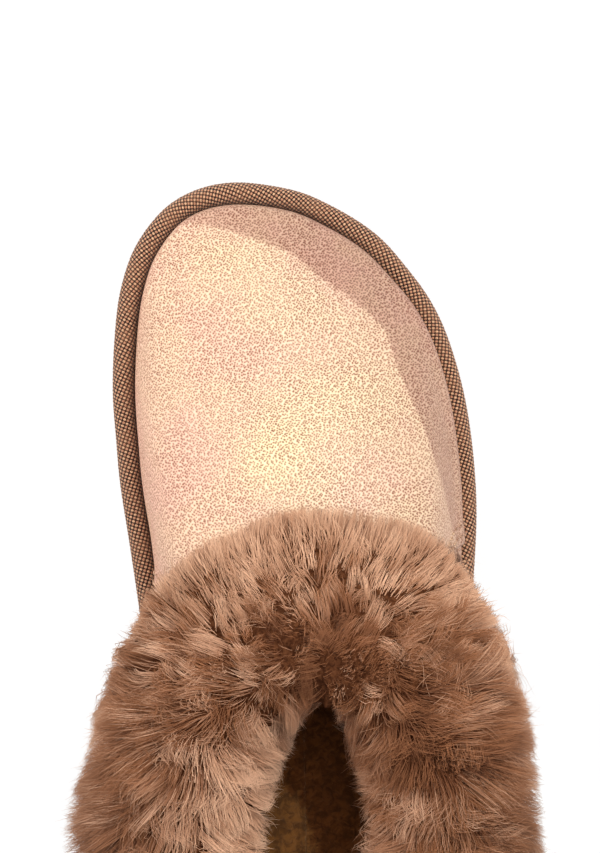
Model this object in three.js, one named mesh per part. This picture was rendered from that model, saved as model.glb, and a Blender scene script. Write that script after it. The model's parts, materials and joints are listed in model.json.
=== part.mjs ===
// Fluffy house slipper (right foot): wrapped platform sole, pebbled leather upper and a
// long-pile fleece cuff all round the collar. Millimetres, toe towards +Y, outer side of the
// foot towards +X, ground at z = 0.
//
// u is the share of the way round, from the toe (0) down the outer side to the heel (0.5) and
// back up the inner side. v is the share of the way up the upper, from feather line to collar.
// An inset is measured inwards, in plan, from the rand's outer edge.
import * as THREE from 'three';

// ---------------------------------------------------------------- driving dimensions
const N_AROUND = 40; // stations round the slipper, shared by every layer so facets stay parallel
const N_UP = 8;      // stations up the upper
const OUTLINE_SAMPLES = 720;

// layers of the sole as [bottom, top], each a gap above the one below
const LAYER_GAP = 0.3;
const layerAbove = (below, thickness) => [below + LAYER_GAP, below + LAYER_GAP + thickness];
const TREAD_TOP = 3.7;
const COVER_Z = layerAbove(TREAD_TOP, 1);
const FLANGE_Z = layerAbove(COVER_Z[1], 1); // wrap fabric turned under the platform
const PLATFORM_Z = layerAbove(FLANGE_Z[1], 13.4);
const BOARD_Z = layerAbove(PLATFORM_Z[1], 1.5);
const SHANK_Z = layerAbove(BOARD_Z[1], 1.8);
const FOAM_Z = layerAbove(SHANK_Z[1], 6.5);
const FLEECE_Z = layerAbove(FOAM_Z[1], 5.5);
const BOARD_INSET = 7.2;
const INNER_GAP = 1.1; // between the linings and the layers inside them

const CORD_R = 2.1;
const CORD_Z = 22.6;
const WRAP_IN_R = CORD_R + LAYER_GAP;
const WRAP_OUT_R = WRAP_IN_R + 0.9;
const CORD_INSET = WRAP_OUT_R;

// cuts across the foot
const BEYOND_Y = 140; // past either end of the sole
const FLEX_Y = 54;    // ball flex line
const BALL_TREAD_BACK_Y = -22;
const HEEL_TREAD_FRONT_Y = -44;
const HEEL_FOAM_FRONT_Y = 24;
const FOREFOOT_FOAM_BACK_Y = HEEL_FOAM_FRONT_Y + 1;

const UPPER_BASE_Z = BOARD_Z[1] + LAYER_GAP;
const UPPER_INSET = 7; // feather line
const COLLAR_FRONT_Z = 77;
const COLLAR_SIDE_Z = 68;
const COLLAR_BACK_Z = 74;

// layers of the upper, as [outer, inner] offsets from its outer surface
const LEATHER = [0, -1.5];
const STIFF = [-1.8, -2.7];
const LINING = [-3, -5.6];
const BACK_STRIP = [1.3, 0.3];

const CUT = 9 / N_AROUND; // vamp to quarter seam, either side of the toe
const SEAM_GAP = 0.004;   // share of the way round

// rand outer edge [x, y], from the toe tip down the outer side, round the heel and back
const RAND = [
  [-16.5, 134], [3, 131], [10.2, 127.4], [16.8, 123.8], [26.4, 116.6], [32.4, 109.4],
  [38.4, 102.2], [44.4, 91.4], [49.2, 77], [52.2, 62.6], [54, 48.2], [54.6, 33.8], [54, 20],
  [52.6, 2], [50.6, -20], [48.6, -44], [46.8, -66], [44.6, -88], [41, -107], [33, -122.5],
  [19.5, -131.6], [3.5, -134], [-12.5, -131.6], [-26.5, -122.5], [-35, -107], [-38.4, -88],
  [-40.4, -66], [-42, -44], [-44, -20], [-46.6, 4], [-49.8, 26.6], [-52.2, 41], [-53.6, 55.4],
  [-54.7, 69.8], [-54.4, 84.2], [-53.1, 98.6], [-51.3, 105.8], [-48.9, 113], [-44.4, 120.2],
  [-38.1, 127.4], [-28.5, 132.3],
];
// collar edge of the upper [x, y], from its front, the same way round
const COLLAR = [
  [5, -2], [17, -4.5], [27, -13], [33.5, -29], [37, -50], [38.5, -72], [37, -94],
  [28.5, -112.5], [17.5, -120.5], [5, -122.5], [-7.5, -120.5], [-18.5, -112.5], [-27, -94],
  [-28.5, -72], [-27, -50], [-23.5, -29], [-17, -13], [-7, -4.5],
];
// [share of the rand's outline, matching share of the collar's], toe to heel
const PAIR = [
  [0, 0], [0.1, 0.035], [0.2, 0.095], [0.26, 0.175], [0.33, 0.285], [0.41, 0.39], [0.5, 0.5],
];
// [share along the cuff from its outer hem, pile height]
const PILE = [
  [0, 5], [0.125, 15], [0.375, 21], [0.5, 16], [0.625, 9], [0.75, 4.5], [1, 3],
];

// ---------------------------------------------------------------- small maths
const range = (count) => Array.from({ length: count }, (_, i) => i);
const stations = range(N_AROUND).map((i) => i / N_AROUND);
const { degToRad } = THREE.MathUtils;
const lerp = (a, b, t) => a + (b - a) * t;
const smooth = (start, end, x) => {
  const t = Math.min(1, Math.max(0, (x - start) / (end - start)));
  return t * t * (3 - 2 * t);
};
const wrapShare = (u) => ((u % 1) + 1) % 1;
// share of the way from the toe (0) to the heel (0.5), alike on both sides
const fromToe = (u) => {
  const share = wrapShare(u);
  return share > 0.5 ? 1 - share : share;
};
// eases from the toe's value to the value further back
const easeBack = (u, atToe, behind, start, end) =>
  lerp(atToe, behind, smooth(start, end, fromToe(u)));

// index of the table row that starts the interval holding x
function intervalAt(table, x) {
  let k = 0;
  while (k < table.length - 2 && x > table[k + 1][0]) k++;
  return k;
}

// ---------------------------------------------------------------- outlines and the upper's skin
// closed curve through points, as a function of u giving [x, y, normal x, normal y];
// the normal is averaged over nearby samples and points inwards
function outline(points) {
  const corners = points.map(([x, y]) => new THREE.Vector3(x, y, 0));
  const curve = new THREE.CatmullRomCurve3(corners, true, 'centripetal');
  curve.arcLengthDivisions = 2000;
  const count = OUTLINE_SAMPLES;
  const spaced = curve.getSpacedPoints(count).slice(0, count);
  const samples = spaced.map((p, i) => {
    let nx = 0;
    let ny = 0;
    for (let k = 1; k <= 6; k++) {
      const before = spaced[(i - k + count) % count];
      const after = spaced[(i + k) % count];
      nx += after.y - before.y;
      ny += before.x - after.x;
    }
    const length = Math.hypot(nx, ny);
    return [p.x, p.y, nx / length, ny / length];
  });
  return (u) => {
    const place = wrapShare(u) * count;
    const i = Math.floor(place) % count;
    const next = samples[(i + 1) % count];
    return samples[i].map((value, k) => lerp(value, next[k], place - Math.floor(place)));
  };
}
const rand = outline(RAND);
const collar = outline(COLLAR);

function edge(u, inset, z) {
  const [x, y, nx, ny] = rand(u);
  return new THREE.Vector3(x + nx * inset, y + ny * inset, z);
}

const PAIR_SLOPES = PAIR.map((_, i) => {
  const [x0, y0] = PAIR[Math.max(0, i - 1)];
  const [x1, y1] = PAIR[Math.min(PAIR.length - 1, i + 1)];
  return (y1 - y0) / (x1 - x0);
});
// the collar's share that matches the rand's share u, by cubic Hermite through PAIR
function collarShare(u) {
  const s = fromToe(u);
  const k = intervalAt(PAIR, s);
  const [x0, y0] = PAIR[k];
  const [x1, y1] = PAIR[k + 1];
  const width = x1 - x0;
  const t = (s - x0) / width;
  const t2 = t * t;
  const t3 = t2 * t;
  const share = (2 * t3 - 3 * t2 + 1) * y0 + (t3 - 2 * t2 + t) * width * PAIR_SLOPES[k]
    + (-2 * t3 + 3 * t2) * y1 + (t3 - t2) * width * PAIR_SLOPES[k + 1];
  return wrapShare(u) > 0.5 ? 1 - share : share;
}

function collarZ(u) {
  const frontToSide = easeBack(u, COLLAR_FRONT_Z, COLLAR_SIDE_Z, 0.08, 0.32);
  return lerp(frontToSide, COLLAR_BACK_Z, smooth(0.36, 0.5, fromToe(u)));
}

// the upper's outer surface: each station climbs part of a superellipse, plus a straight rise
function skin(u, v) {
  const [topX, topY] = collar(collarShare(u));
  const foot = edge(u, UPPER_INSET, UPPER_BASE_Z);
  const sweep = degToRad(easeBack(u, 88, 46, 0.14, 0.3));
  const power = 2 / easeBack(u, 2.5, 2, 0.14, 0.3);
  const angle = sweep * v;
  const inward = (1 - Math.cos(angle) ** power) / (1 - Math.cos(sweep) ** power);
  const upward = Math.sin(angle) ** power / Math.sin(sweep) ** power;
  const rise = easeBack(u, 23, 4, 0.1, 0.3);
  return new THREE.Vector3(
    lerp(foot.x, topX, inward),
    lerp(foot.y, topY, inward),
    UPPER_BASE_Z + (collarZ(u) - UPPER_BASE_Z - rise) * upward + rise * inward,
  );
}

const SKIN_STEP = 1e-3; // either way, for finding directions on the skin
const alongSkin = (u, v) => skin(u + SKIN_STEP, v).sub(skin(u - SKIN_STEP, v)).normalize();
// point, outward normal and upward direction on the skin
function frameAt(u, v) {
  const below = skin(u, Math.max(0, v - SKIN_STEP));
  const up = skin(u, Math.min(1, v + SKIN_STEP)).sub(below).normalize();
  const normal = new THREE.Vector3().crossVectors(up, alongSkin(u, v)).normalize();
  return { point: skin(u, v), normal, up };
}
const fromFrame = ({ point, normal, up }, out, rise) =>
  point.clone().addScaledVector(normal, out).addScaledVector(up, rise);
const shell = (u, v, offset) => fromFrame(frameAt(u, v), offset, 0);

// the hollow inside the linings at a height, where the layers under the foot end
function hollow(u, inset, z) {
  let low = 0;
  let high = 0.7;
  for (let k = 0; k < 24; k++) {
    const middle = (low + high) / 2;
    if (shell(u, middle, LINING[1]).z < z) low = middle;
    else high = middle;
  }
  const wall = shell(u, low, LINING[1]);
  const [, , nx, ny] = rand(u);
  return new THREE.Vector3(wall.x + nx * inset, wall.y + ny * inset, z);
}

// ---------------------------------------------------------------- materials and solid builders
const LOOKS = {
  leather: { color: 0xe9c9a4, roughness: 0.5 },
  lining: { color: 0xc49a78, roughness: 0.95 },
  fleece: { color: 0x9b6a4c, roughness: 0.98 },
  fabric: { color: 0xa1795f, roughness: 0.85 },
  foam: { color: 0xe8e2d2, roughness: 0.9 },
  platform: { color: 0xdcd3c3, roughness: 0.85 },
  rubber: { color: 0x6b4a36, roughness: 0.8 },
  board: { color: 0x9c7b58, roughness: 0.9 },
  thread: { color: 0xb98f6c, roughness: 0.7 },
  stiff: { color: 0xd8cdbb, roughness: 0.7 },
  hide: { color: 0xcaa07c, roughness: 0.85 },
};
const group = new THREE.Group();
group.name = 'slipper';

// adds a closed mesh, turning its faces outwards if their signed volume is negative
function add(name, look, points, faces) {
  let volume = 0;
  for (const [a, b, c] of faces) {
    volume += points[a].dot(new THREE.Vector3().crossVectors(points[b], points[c]));
  }
  const outward = volume < 0 ? faces.map(([a, b, c]) => [a, c, b]) : faces;
  const coordinates = points.flatMap((p) => [p.x, p.y, p.z]);
  const geometry = new THREE.BufferGeometry();
  geometry.setAttribute('position', new THREE.Float32BufferAttribute(coordinates, 3));
  geometry.setIndex(outward.flat());
  geometry.computeVertexNormals();
  const material = new THREE.MeshStandardMaterial({ ...LOOKS[look], metalness: 0 });
  const mesh = new THREE.Mesh(geometry, material);
  mesh.name = name;
  group.add(mesh);
}

// triangles across one flat section
function capFaces(section) {
  const origin = section[0];
  const arms = section.map((p) => p.clone().sub(origin));
  const xAxis = arms[Math.floor(section.length / 3)].clone().normalize();
  const normal = new THREE.Vector3();
  arms.forEach((arm, j) => {
    normal.add(new THREE.Vector3().crossVectors(arm, arms[(j + 1) % arms.length]));
  });
  normal.normalize();
  const yAxis = new THREE.Vector3().crossVectors(normal, xAxis).normalize();
  const flat = arms.map((arm) => new THREE.Vector2(arm.dot(xAxis), arm.dot(yAxis)));
  return THREE.ShapeUtils.triangulateShape(flat, []);
}

// sections joined end to end; a closed run is a ring, an open one gets a cap at either end
function loft(name, look, sections, closed) {
  const count = sections.length;
  const size = sections[0].length;
  const faces = [];
  for (let i = 0; i < (closed ? count : count - 1); i++) {
    const row = i * size;
    const nextRow = ((i + 1) % count) * size;
    for (let j = 0; j < size; j++) {
      const k = (j + 1) % size;
      faces.push([row + j, row + k, nextRow + k], [row + j, nextRow + k, nextRow + j]);
    }
  }
  if (!closed) {
    const last = (count - 1) * size;
    for (const [a, b, c] of capFaces(sections[0])) faces.push([a, c, b]);
    for (const [a, b, c] of capFaces(sections[count - 1])) {
      faces.push([last + a, last + b, last + c]);
    }
  }
  add(name, look, sections.flat(), faces);
}

const ring = (name, look, sectionAt) => loft(name, look, stations.map(sectionAt), true);

// a flat layer of the sole; each level is [z, inset]
function layer(name, look, levels, place = edge) {
  const sections = levels.map(([z, inset]) => stations.map((u) => place(u, inset, z)));
  loft(name, look, sections, false);
}

const SLAB_SAMPLES = 96;    // along each side, before cutting
const SLAB_SIDE_POINTS = 9; // kept on each side
// one side of a slab's outline, cut to lie between two stations across the foot
function slabSide(uStart, uEnd, low, high, pointAt) {
  const points = range(SLAB_SAMPLES + 1).map((i) => pointAt(lerp(uStart, uEnd, i / SLAB_SAMPLES)));
  const kept = [];
  points.forEach((p, i) => {
    if (i > 0) {
      const before = points[i - 1];
      const cuts = p.y < before.y ? [high, low] : [low, high];
      for (const y of cuts) {
        if ((before.y - y) * (p.y - y) < 0) {
          kept.push(before.clone().lerp(p, (y - before.y) / (p.y - before.y)));
        }
      }
    }
    if (p.y > low && p.y < high) kept.push(p);
  });
  return range(SLAB_SIDE_POINTS)
    .map((i) => kept[Math.round((kept.length - 1) * i / (SLAB_SIDE_POINTS - 1))]);
}
// part of a sole layer between two stations across the foot; each level is
// [z, inset, distance the cut ends draw in]
function slab(name, look, yLow, yHigh, levels, place = edge) {
  const sections = levels.map(([z, inset, shrink = 0]) => {
    const pointAt = (u) => place(u, inset, z);
    const low = yLow + shrink;
    const high = yHigh - shrink;
    return [
      ...slabSide(0.002, 0.498, low, high, pointAt),
      ...slabSide(0.502, 0.998, low, high, pointAt),
    ];
  });
  loft(name, look, sections, false);
}

// both ends of a range and the shared stations between them, bar any too near an end
function stops(start, end, count) {
  const between = [];
  for (let k = Math.ceil(start * count + 1e-6); k < end * count - 1e-6; k++) {
    const clear = k / count - start > 0.2 / count && end - k / count > 0.2 / count;
    if (clear) between.push(k / count);
  }
  return [start, ...between, end];
}
// a thick patch of the upper between two offsets from the skin
function patch(name, look, offsets, uRange, vRange) {
  const us = stops(...uRange, N_AROUND);
  const vs = stops(...vRange, N_UP);
  const uLast = us.length - 1;
  const vLast = vs.length - 1;
  const points = offsets.flatMap((offset) => us.flatMap((u) => vs.map((v) => shell(u, v, offset))));
  const id = (face, i, j) => (face * us.length + i) * vs.length + j;
  const faces = [];
  for (let i = 0; i < uLast; i++) {
    for (let j = 0; j < vLast; j++) {
      const [a, b, c, d] = [id(0, i, j), id(0, i + 1, j), id(0, i + 1, j + 1), id(0, i, j + 1)];
      const [e, f, g, h] = [a, b, c, d].map((corner) => corner + us.length * vs.length);
      faces.push([a, b, c], [a, c, d], [e, g, f], [e, h, g]);
    }
  }
  const rim = [
    ...range(uLast).map((i) => [i, 0]),
    ...range(vLast).map((j) => [uLast, j]),
    ...range(uLast).map((i) => [uLast - i, vLast]),
    ...range(vLast).map((j) => [0, vLast - j]),
  ];
  rim.forEach(([i, j], k) => {
    const next = rim[(k + 1) % rim.length];
    const a = id(0, i, j);
    const c = id(1, ...next);
    faces.push([a, id(1, i, j), c], [a, c, id(0, ...next)]);
  });
  add(name, look, points, faces);
}

// a thin four-sided thread through given points
function thread(name, path, radius, closed) {
  const count = path.length;
  const neighbour = (i) => path[closed ? (i + count) % count : Math.min(count - 1, Math.max(0, i))];
  const sections = path.map((p, i) => {
    const along = neighbour(i + 1).clone().sub(neighbour(i - 1)).normalize();
    const across = new THREE.Vector3().crossVectors(along, new THREE.Vector3(0, 0, 1)).normalize();
    const rise = new THREE.Vector3().crossVectors(across, along).normalize();
    return range(4).map((k) => {
      const angle = Math.PI * k / 2;
      return p.clone()
        .addScaledVector(across, radius * Math.cos(angle))
        .addScaledVector(rise, radius * Math.sin(angle));
    });
  });
  loft(name, 'thread', sections, closed);
}

// ---------------------------------------------------------------- the sole
const TREAD = [[0, 9.5, 2.5], [1, 8, 1], [TREAD_TOP, 7.4, 0]];
slab('toe_tread', 'rubber', FLEX_Y + 5, BEYOND_Y, TREAD);
slab('ball_tread', 'rubber', BALL_TREAD_BACK_Y, FLEX_Y - 1, TREAD);
slab('heel_tread', 'rubber', -BEYOND_Y, HEEL_TREAD_FRONT_Y, TREAD);
layer('bottom_cover', 'rubber', [[COVER_Z[0], 3.4], [COVER_Z[1], 3]]);
layer('platform_midsole', 'platform',
  [[PLATFORM_Z[0], 2.8], [PLATFORM_Z[0] + 1, 1.3], [PLATFORM_Z[1], 1.3]]);

// fabric from under the platform, up its side and over the cord; points are [inset, z]
function wrapSection() {
  const flangeInset = 9;
  const overCord = (radius, degrees) => degrees.map((d) => [
    CORD_INSET - radius * Math.cos(degToRad(d)),
    CORD_Z + radius * Math.sin(degToRad(d)),
  ]);
  return [
    [flangeInset, FLANGE_Z[0]], [1.6, FLANGE_Z[0]], [0, 7.2],
    ...overCord(WRAP_OUT_R, [0, 50, 90, 130, 180]),
    [CORD_INSET + WRAP_OUT_R, BOARD_Z[0]], [CORD_INSET + WRAP_IN_R, BOARD_Z[0]],
    ...overCord(WRAP_IN_R, [180, 130, 90, 50, 0]),
    [CORD_INSET - WRAP_IN_R, 7.6], [2.2, FLANGE_Z[1]], [flangeInset, FLANGE_Z[1]],
  ];
}
ring('platform_wrap', 'fabric', (u) => wrapSection().map(([inset, z]) => edge(u, inset, z)));
ring('welt_cord', 'foam', (u) => range(5).map((k) => {
  const angle = degToRad(72 * k + 18);
  return edge(u, CORD_INSET + CORD_R * Math.cos(angle), CORD_Z + CORD_R * Math.sin(angle));
}));
layer('insole_board', 'board', BOARD_Z.map((z) => [z, BOARD_INSET]));

const insideLinings = (heights) => heights.map((z) => [z, INNER_GAP]);
slab('shank_board', 'board', -BEYOND_Y, HEEL_FOAM_FRONT_Y, insideLinings(SHANK_Z), hollow);
slab('heel_foam', 'foam', -BEYOND_Y, HEEL_FOAM_FRONT_Y, insideLinings(FOAM_Z), hollow);
slab('forefoot_foam', 'foam', FOREFOOT_FOAM_BACK_Y, BEYOND_Y,
  insideLinings([SHANK_Z[0], FOAM_Z[1]]), hollow);
layer('footbed_fleece', 'fleece',
  [...insideLinings([FLEECE_Z[0], FLEECE_Z[1] - 2]), [FLEECE_Z[1], INNER_GAP + 2.5]], hollow);

// ---------------------------------------------------------------- the upper
const VAMP = [-CUT, CUT];
patch('vamp', 'leather', LEATHER, VAMP, [0, 1]);
patch('lateral_quarter', 'leather', LEATHER, [CUT + SEAM_GAP, 0.5 - SEAM_GAP / 2], [0, 1]);
patch('medial_quarter', 'leather', LEATHER, [0.5 + SEAM_GAP / 2, 1 - CUT - SEAM_GAP], [0, 1]);
patch('toe_puff', 'stiff', STIFF, [-0.1, 0.1], [0, 4 / N_UP]);
patch('heel_counter', 'stiff', STIFF, [0.4, 0.6], [0, 5 / N_UP]);
patch('vamp_lining', 'lining', LINING, VAMP, [0, 1]);
patch('quarter_lining', 'lining', LINING, [CUT + SEAM_GAP, 1 - CUT - SEAM_GAP], [0, 1]);
patch('back_strip', 'leather', BACK_STRIP, [0.5 - 0.011, 0.5 + 0.011], [0.1, 0.33]);

// channel over the collar edge: [outwards, upwards] from the edge
const BINDING = [
  [0.7, -3], [1.5, -3], [1.5, 1.7], [-7.3, 1.7], [-7.3, -2.5], [-6.4, -2.5], [-6.4, 0.8],
  [0.7, 0.8],
];
ring('collar_binding', 'fabric', (u) => {
  const frame = frameAt(u, 1);
  return BINDING.map(([out, rise]) => fromFrame(frame, out, rise));
});

const SEAM_U = CUT + 0.007;
for (const [name, u] of [['lateral_seam_thread', SEAM_U], ['medial_seam_thread', -SEAM_U]]) {
  thread(name, range(9).map((k) => shell(u, 0.1 + 0.1 * k, 0.75)), 0.4, false);
}
thread('feather_thread', stations.map((u) => edge(u, 6.2, 25.3)), 0.3, true);

// ---------------------------------------------------------------- the cuff
// v of the cuff's outer hem
const hemV = (u) => lerp(0.865, 0.36, smooth(0.02, 0.27, fromToe(u)) ** 2.4);
const cuffBulge = (u) => easeBack(u, 6.5, 10, 0.1, 0.3);

// the hide's middle line, from the outer hem over the collar edge and down inside
function cuffPoints(u) {
  const hem = hemV(u);
  const bulge = cuffBulge(u);
  const frame = frameAt(u, 1);
  return [
    shell(u, hem, 3),
    shell(u, lerp(hem, 1, 0.28), bulge),
    shell(u, lerp(hem, 1, 0.7), bulge + 2),
    fromFrame(frame, bulge + 0.5, 3),
    fromFrame(frame, 3, 9),
    fromFrame(frame, -5, 8.5),
    fromFrame(frame, -10.8, 2.5),
    shell(u, 1 - easeBack(u, 0.09, 0.2, 0.1, 0.3), -9.8),
    shell(u, 1 - easeBack(u, 0.18, 0.4, 0.1, 0.3), -8),
  ];
}
// averaged over a short run of the collar, so that the roll has no kinks
function cuffLine(u) {
  const runs = [0, -0.02, -0.01, 0.01, 0.02].map((shift) => cuffPoints(u + shift));
  const mean = runs[0].map((_, i) => {
    const sum = new THREE.Vector3();
    for (const run of runs) sum.add(run[i]);
    return sum.multiplyScalar(1 / runs.length);
  });
  return new THREE.CatmullRomCurve3(mean, false, 'centripetal');
}

function pileHeight(t) {
  const k = intervalAt(PILE, t);
  const [start, startHeight] = PILE[k];
  const [end, endHeight] = PILE[k + 1];
  return lerp(startHeight, endHeight, smooth(start, end, t));
}

// band along the cuff line between two offsets, each a function of the share along it
function cuffSection(u, lowerOffset, upperOffset) {
  const count = 9;
  const line = cuffLine(u);
  const along = alongSkin(u, 1);
  const upper = [];
  const lower = [];
  for (let k = 0; k < count; k++) {
    const t = k / (count - 1);
    const point = line.getPoint(t);
    const normal = new THREE.Vector3().crossVectors(line.getTangent(t), along).normalize();
    upper.push(point.clone().addScaledVector(normal, upperOffset(t)));
    lower.unshift(point.clone().addScaledVector(normal, lowerOffset(t)));
  }
  return [...upper, ...lower];
}

ring('cuff_hide', 'hide', (u) => cuffSection(u, () => -0.7, () => 0.7));
ring('cuff_fleece', 'fleece', (u) => {
  // shorter over the front, where it lies on the instep
  const scale = easeBack(u, 0.72, 1, 0.12, 0.26);
  return cuffSection(u, (t) => pileHeight(t) * scale, () => 1.1);
});
ring('collar_padding', 'foam', (u) => {
  const bulge = cuffBulge(u) - 1.9;
  // [share of the way from hem to collar, offset from the skin]
  const section = [
    [0.16, 2], [0.34, bulge], [0.68, bulge + 1.6], [0.97, bulge + 0.6], [0.93, 2], [0.55, 2],
  ];
  return section.map(([share, offset]) => shell(u, lerp(hemV(u), 1, share), offset));
});
thread('cuff_seam_thread', stations.map((u) => shell(u, hemV(u) - 0.02, 2.4)), 0.35, true);

// ---------------------------------------------------------------- ground at z = 0, centred in plan
const box = new THREE.Box3().setFromObject(group);
group.position.set(-(box.min.x + box.max.x) / 2, -(box.min.y + box.max.y) / 2, -box.min.z);
group.updateMatrixWorld(true);

export default group;
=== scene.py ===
"""Looks for a fluffy house slipper: leather upper, woven rand, fleece cuff. Blender 4.5.

Shapes are worked out in the CAD's millimetres and moved into the row frame (metres) by SHIFT.
The toe points to +Y, the heel to -Y, +Z is up, the lateral side is +X and the medial side -X.
u runs round the slipper: 0 at the toe, up to 0.5 at the heel along +X, back to 1 along -X.
"""

import json
import math

import bmesh
import bpy
import numpy as np
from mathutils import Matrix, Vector
from mathutils.kdtree import KDTree

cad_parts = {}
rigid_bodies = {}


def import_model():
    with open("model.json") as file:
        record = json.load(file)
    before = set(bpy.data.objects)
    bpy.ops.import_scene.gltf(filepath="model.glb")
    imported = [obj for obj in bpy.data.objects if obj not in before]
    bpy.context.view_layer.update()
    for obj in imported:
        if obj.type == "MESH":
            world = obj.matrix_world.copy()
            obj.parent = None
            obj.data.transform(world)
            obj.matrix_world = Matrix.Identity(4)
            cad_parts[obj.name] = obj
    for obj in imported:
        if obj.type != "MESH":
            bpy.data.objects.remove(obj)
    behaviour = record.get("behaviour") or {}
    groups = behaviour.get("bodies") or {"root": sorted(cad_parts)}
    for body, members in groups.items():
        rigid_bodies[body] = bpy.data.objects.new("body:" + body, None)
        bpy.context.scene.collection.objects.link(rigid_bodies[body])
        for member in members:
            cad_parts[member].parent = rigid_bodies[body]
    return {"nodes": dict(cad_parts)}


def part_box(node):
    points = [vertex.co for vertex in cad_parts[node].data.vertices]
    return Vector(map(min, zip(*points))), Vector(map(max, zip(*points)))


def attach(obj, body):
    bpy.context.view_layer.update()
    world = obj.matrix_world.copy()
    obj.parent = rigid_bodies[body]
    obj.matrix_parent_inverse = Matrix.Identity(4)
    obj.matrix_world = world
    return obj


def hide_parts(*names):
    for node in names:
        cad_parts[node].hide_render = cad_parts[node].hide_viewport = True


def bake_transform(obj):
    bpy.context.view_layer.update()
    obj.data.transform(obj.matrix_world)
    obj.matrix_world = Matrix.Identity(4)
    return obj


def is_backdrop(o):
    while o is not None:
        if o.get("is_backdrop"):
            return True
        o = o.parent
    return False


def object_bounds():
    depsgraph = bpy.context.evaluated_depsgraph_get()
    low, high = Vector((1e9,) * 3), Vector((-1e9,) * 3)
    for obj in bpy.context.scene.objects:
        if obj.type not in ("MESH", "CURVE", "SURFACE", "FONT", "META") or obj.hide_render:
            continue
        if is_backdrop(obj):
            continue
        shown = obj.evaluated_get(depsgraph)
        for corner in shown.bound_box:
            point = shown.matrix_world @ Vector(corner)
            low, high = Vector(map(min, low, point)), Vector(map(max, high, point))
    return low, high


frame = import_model()
cad_lo, cad_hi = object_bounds()
TAU = 2 * math.pi

# ------------------------------------------------------------------ driving lines and sizes (mm)
# Outer edge of the rand from above: x, y, from the toe round by the lateral side
RAND = [
    (-16.5, 134), (3, 131), (10.2, 127.4), (16.8, 123.8), (26.4, 116.6), (32.4, 109.4),
    (38.4, 102.2), (44.4, 91.4), (49.2, 77), (52.2, 62.6), (54, 48.2), (54.6, 33.8), (54, 20),
    (52.6, 2), (50.6, -20), (48.6, -44), (46.8, -66), (44.6, -88), (41, -107), (33, -122.5),
    (19.5, -131.6), (3.5, -134), (-12.5, -131.6), (-26.5, -122.5), (-35, -107), (-38.4, -88),
    (-40.4, -66), (-42, -44), (-44, -20), (-46.6, 4), (-49.8, 26.6), (-52.2, 41), (-53.6, 55.4),
    (-54.7, 69.8), (-54.4, 84.2), (-53.1, 98.6), (-51.3, 105.8), (-48.9, 113), (-44.4, 120.2),
    (-38.1, 127.4), (-28.5, 132.3),
]
# Collar edge from above: x, y, from its front round by the lateral side
COLLAR = [
    (5, -2), (17, -4.5), (27, -13), (33.5, -29), (37, -50), (38.5, -72), (37, -94),
    (28.5, -112.5), (17.5, -120.5), (5, -122.5), (-7.5, -120.5), (-18.5, -112.5), (-27, -94),
    (-28.5, -72), (-27, -50), (-23.5, -29), (-17, -13), (-7, -4.5),
]
# Which point of the collar stands over which point of the rand: rand u, collar u
PAIR = np.array([
    [0, 0], [0.1, 0.035], [0.2, 0.095], [0.26, 0.175], [0.33, 0.285], [0.41, 0.39], [0.5, 0.5],
])
UPPER_BASE_Z, UPPER_INSET = 22.1, 7.0
CORD_INSET, CORD_Z, WRAP_R = 3.3, 22.6, 3.3
CUT = 9 / 40  # u of the seams between vamp and quarters
BLEND_START_Y, BLEND_END_Y = 44.0, 98.0  # the bend grows between these
TABLE_STEPS = 4096  # even steps in the tables of closed curves
LINING_OUT, LINING_IN = 3.0, 5.6  # depths of the lining's faces below the upper

# The camera looks straight down; seen positions are measured on the level VIEW_Z
CAM_HEIGHT, VIEW_Z = 1300.0, 24.0
VIEW_CENTRE = np.array([1.5, 60.65])
VIEW_HEIGHT = 255.9


# ------------------------------------------------------------------ curves and surfaces
def lerp(a, b, t):
    return a + (b - a) * t


def smooth(a, b, x):
    t = np.clip((np.asarray(x, float) - a) / (b - a), 0, 1)
    return t * t * (3 - 2 * t)


def bell(x, width):
    return np.exp(-((x / width) ** 2))


def unit(a):
    return a / np.maximum(np.linalg.norm(a, axis=-1, keepdims=True), 1e-12)


def hermite(t, p1, p2, m1, m2):
    return ((2 * t**3 - 3 * t**2 + 1) * p1 + (t**3 - 2 * t**2 + t) * m1
            + (3 * t**2 - 2 * t**3) * p2 + (t**3 - t**2) * m2)


def ease_ring(values, sigma, length=1.0):
    """Gaussian smoothing of values along a closed ring (first axis) of the given length."""
    n = len(values)
    gain = np.exp(-2 * (math.pi * np.fft.fftfreq(n, length / n) * sigma) ** 2)
    gain = gain.reshape((-1,) + (1,) * (values.ndim - 1))
    return np.fft.ifft(np.fft.fft(values, axis=0) * gain, axis=0).real


def closed_curve(points, sigma):
    """Centripetal Catmull-Rom, eased over sigma mm: even points, inward normals, length."""
    pts = np.array(points, float)
    t = np.linspace(0, 1, 80, endpoint=False)[:, None]
    rows = []
    for i in range(len(pts)):
        p0, p1, p2, p3 = (pts[(i + k) % len(pts)] for k in (-1, 0, 1, 2))
        d0, d1, d2 = (np.linalg.norm(b - a) ** 0.5 for a, b in ((p0, p1), (p1, p2), (p2, p3)))
        m1 = ((p1 - p0) / d0 - (p2 - p0) / (d0 + d1) + (p2 - p1) / d1) * d1
        m2 = ((p2 - p1) / d1 - (p3 - p1) / (d1 + d2) + (p3 - p2) / d2) * d1
        rows.append(hermite(t, p1, p2, m1, m2))
    line = np.vstack(rows + [rows[0][:1]])
    dist = np.r_[0, np.cumsum(np.linalg.norm(np.diff(line, axis=0), axis=1))]
    length = dist[-1]
    at = np.linspace(0, length, TABLE_STEPS, endpoint=False)
    line = np.stack([np.interp(at, dist, line[:, j]) for j in range(2)], 1)
    line = ease_ring(line, sigma, length)
    way = np.roll(line, -1, 0) - np.roll(line, 1, 0)
    way /= np.linalg.norm(way, axis=1)[:, None]
    return line, np.stack([way[:, 1], -way[:, 0]], 1), length


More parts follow.
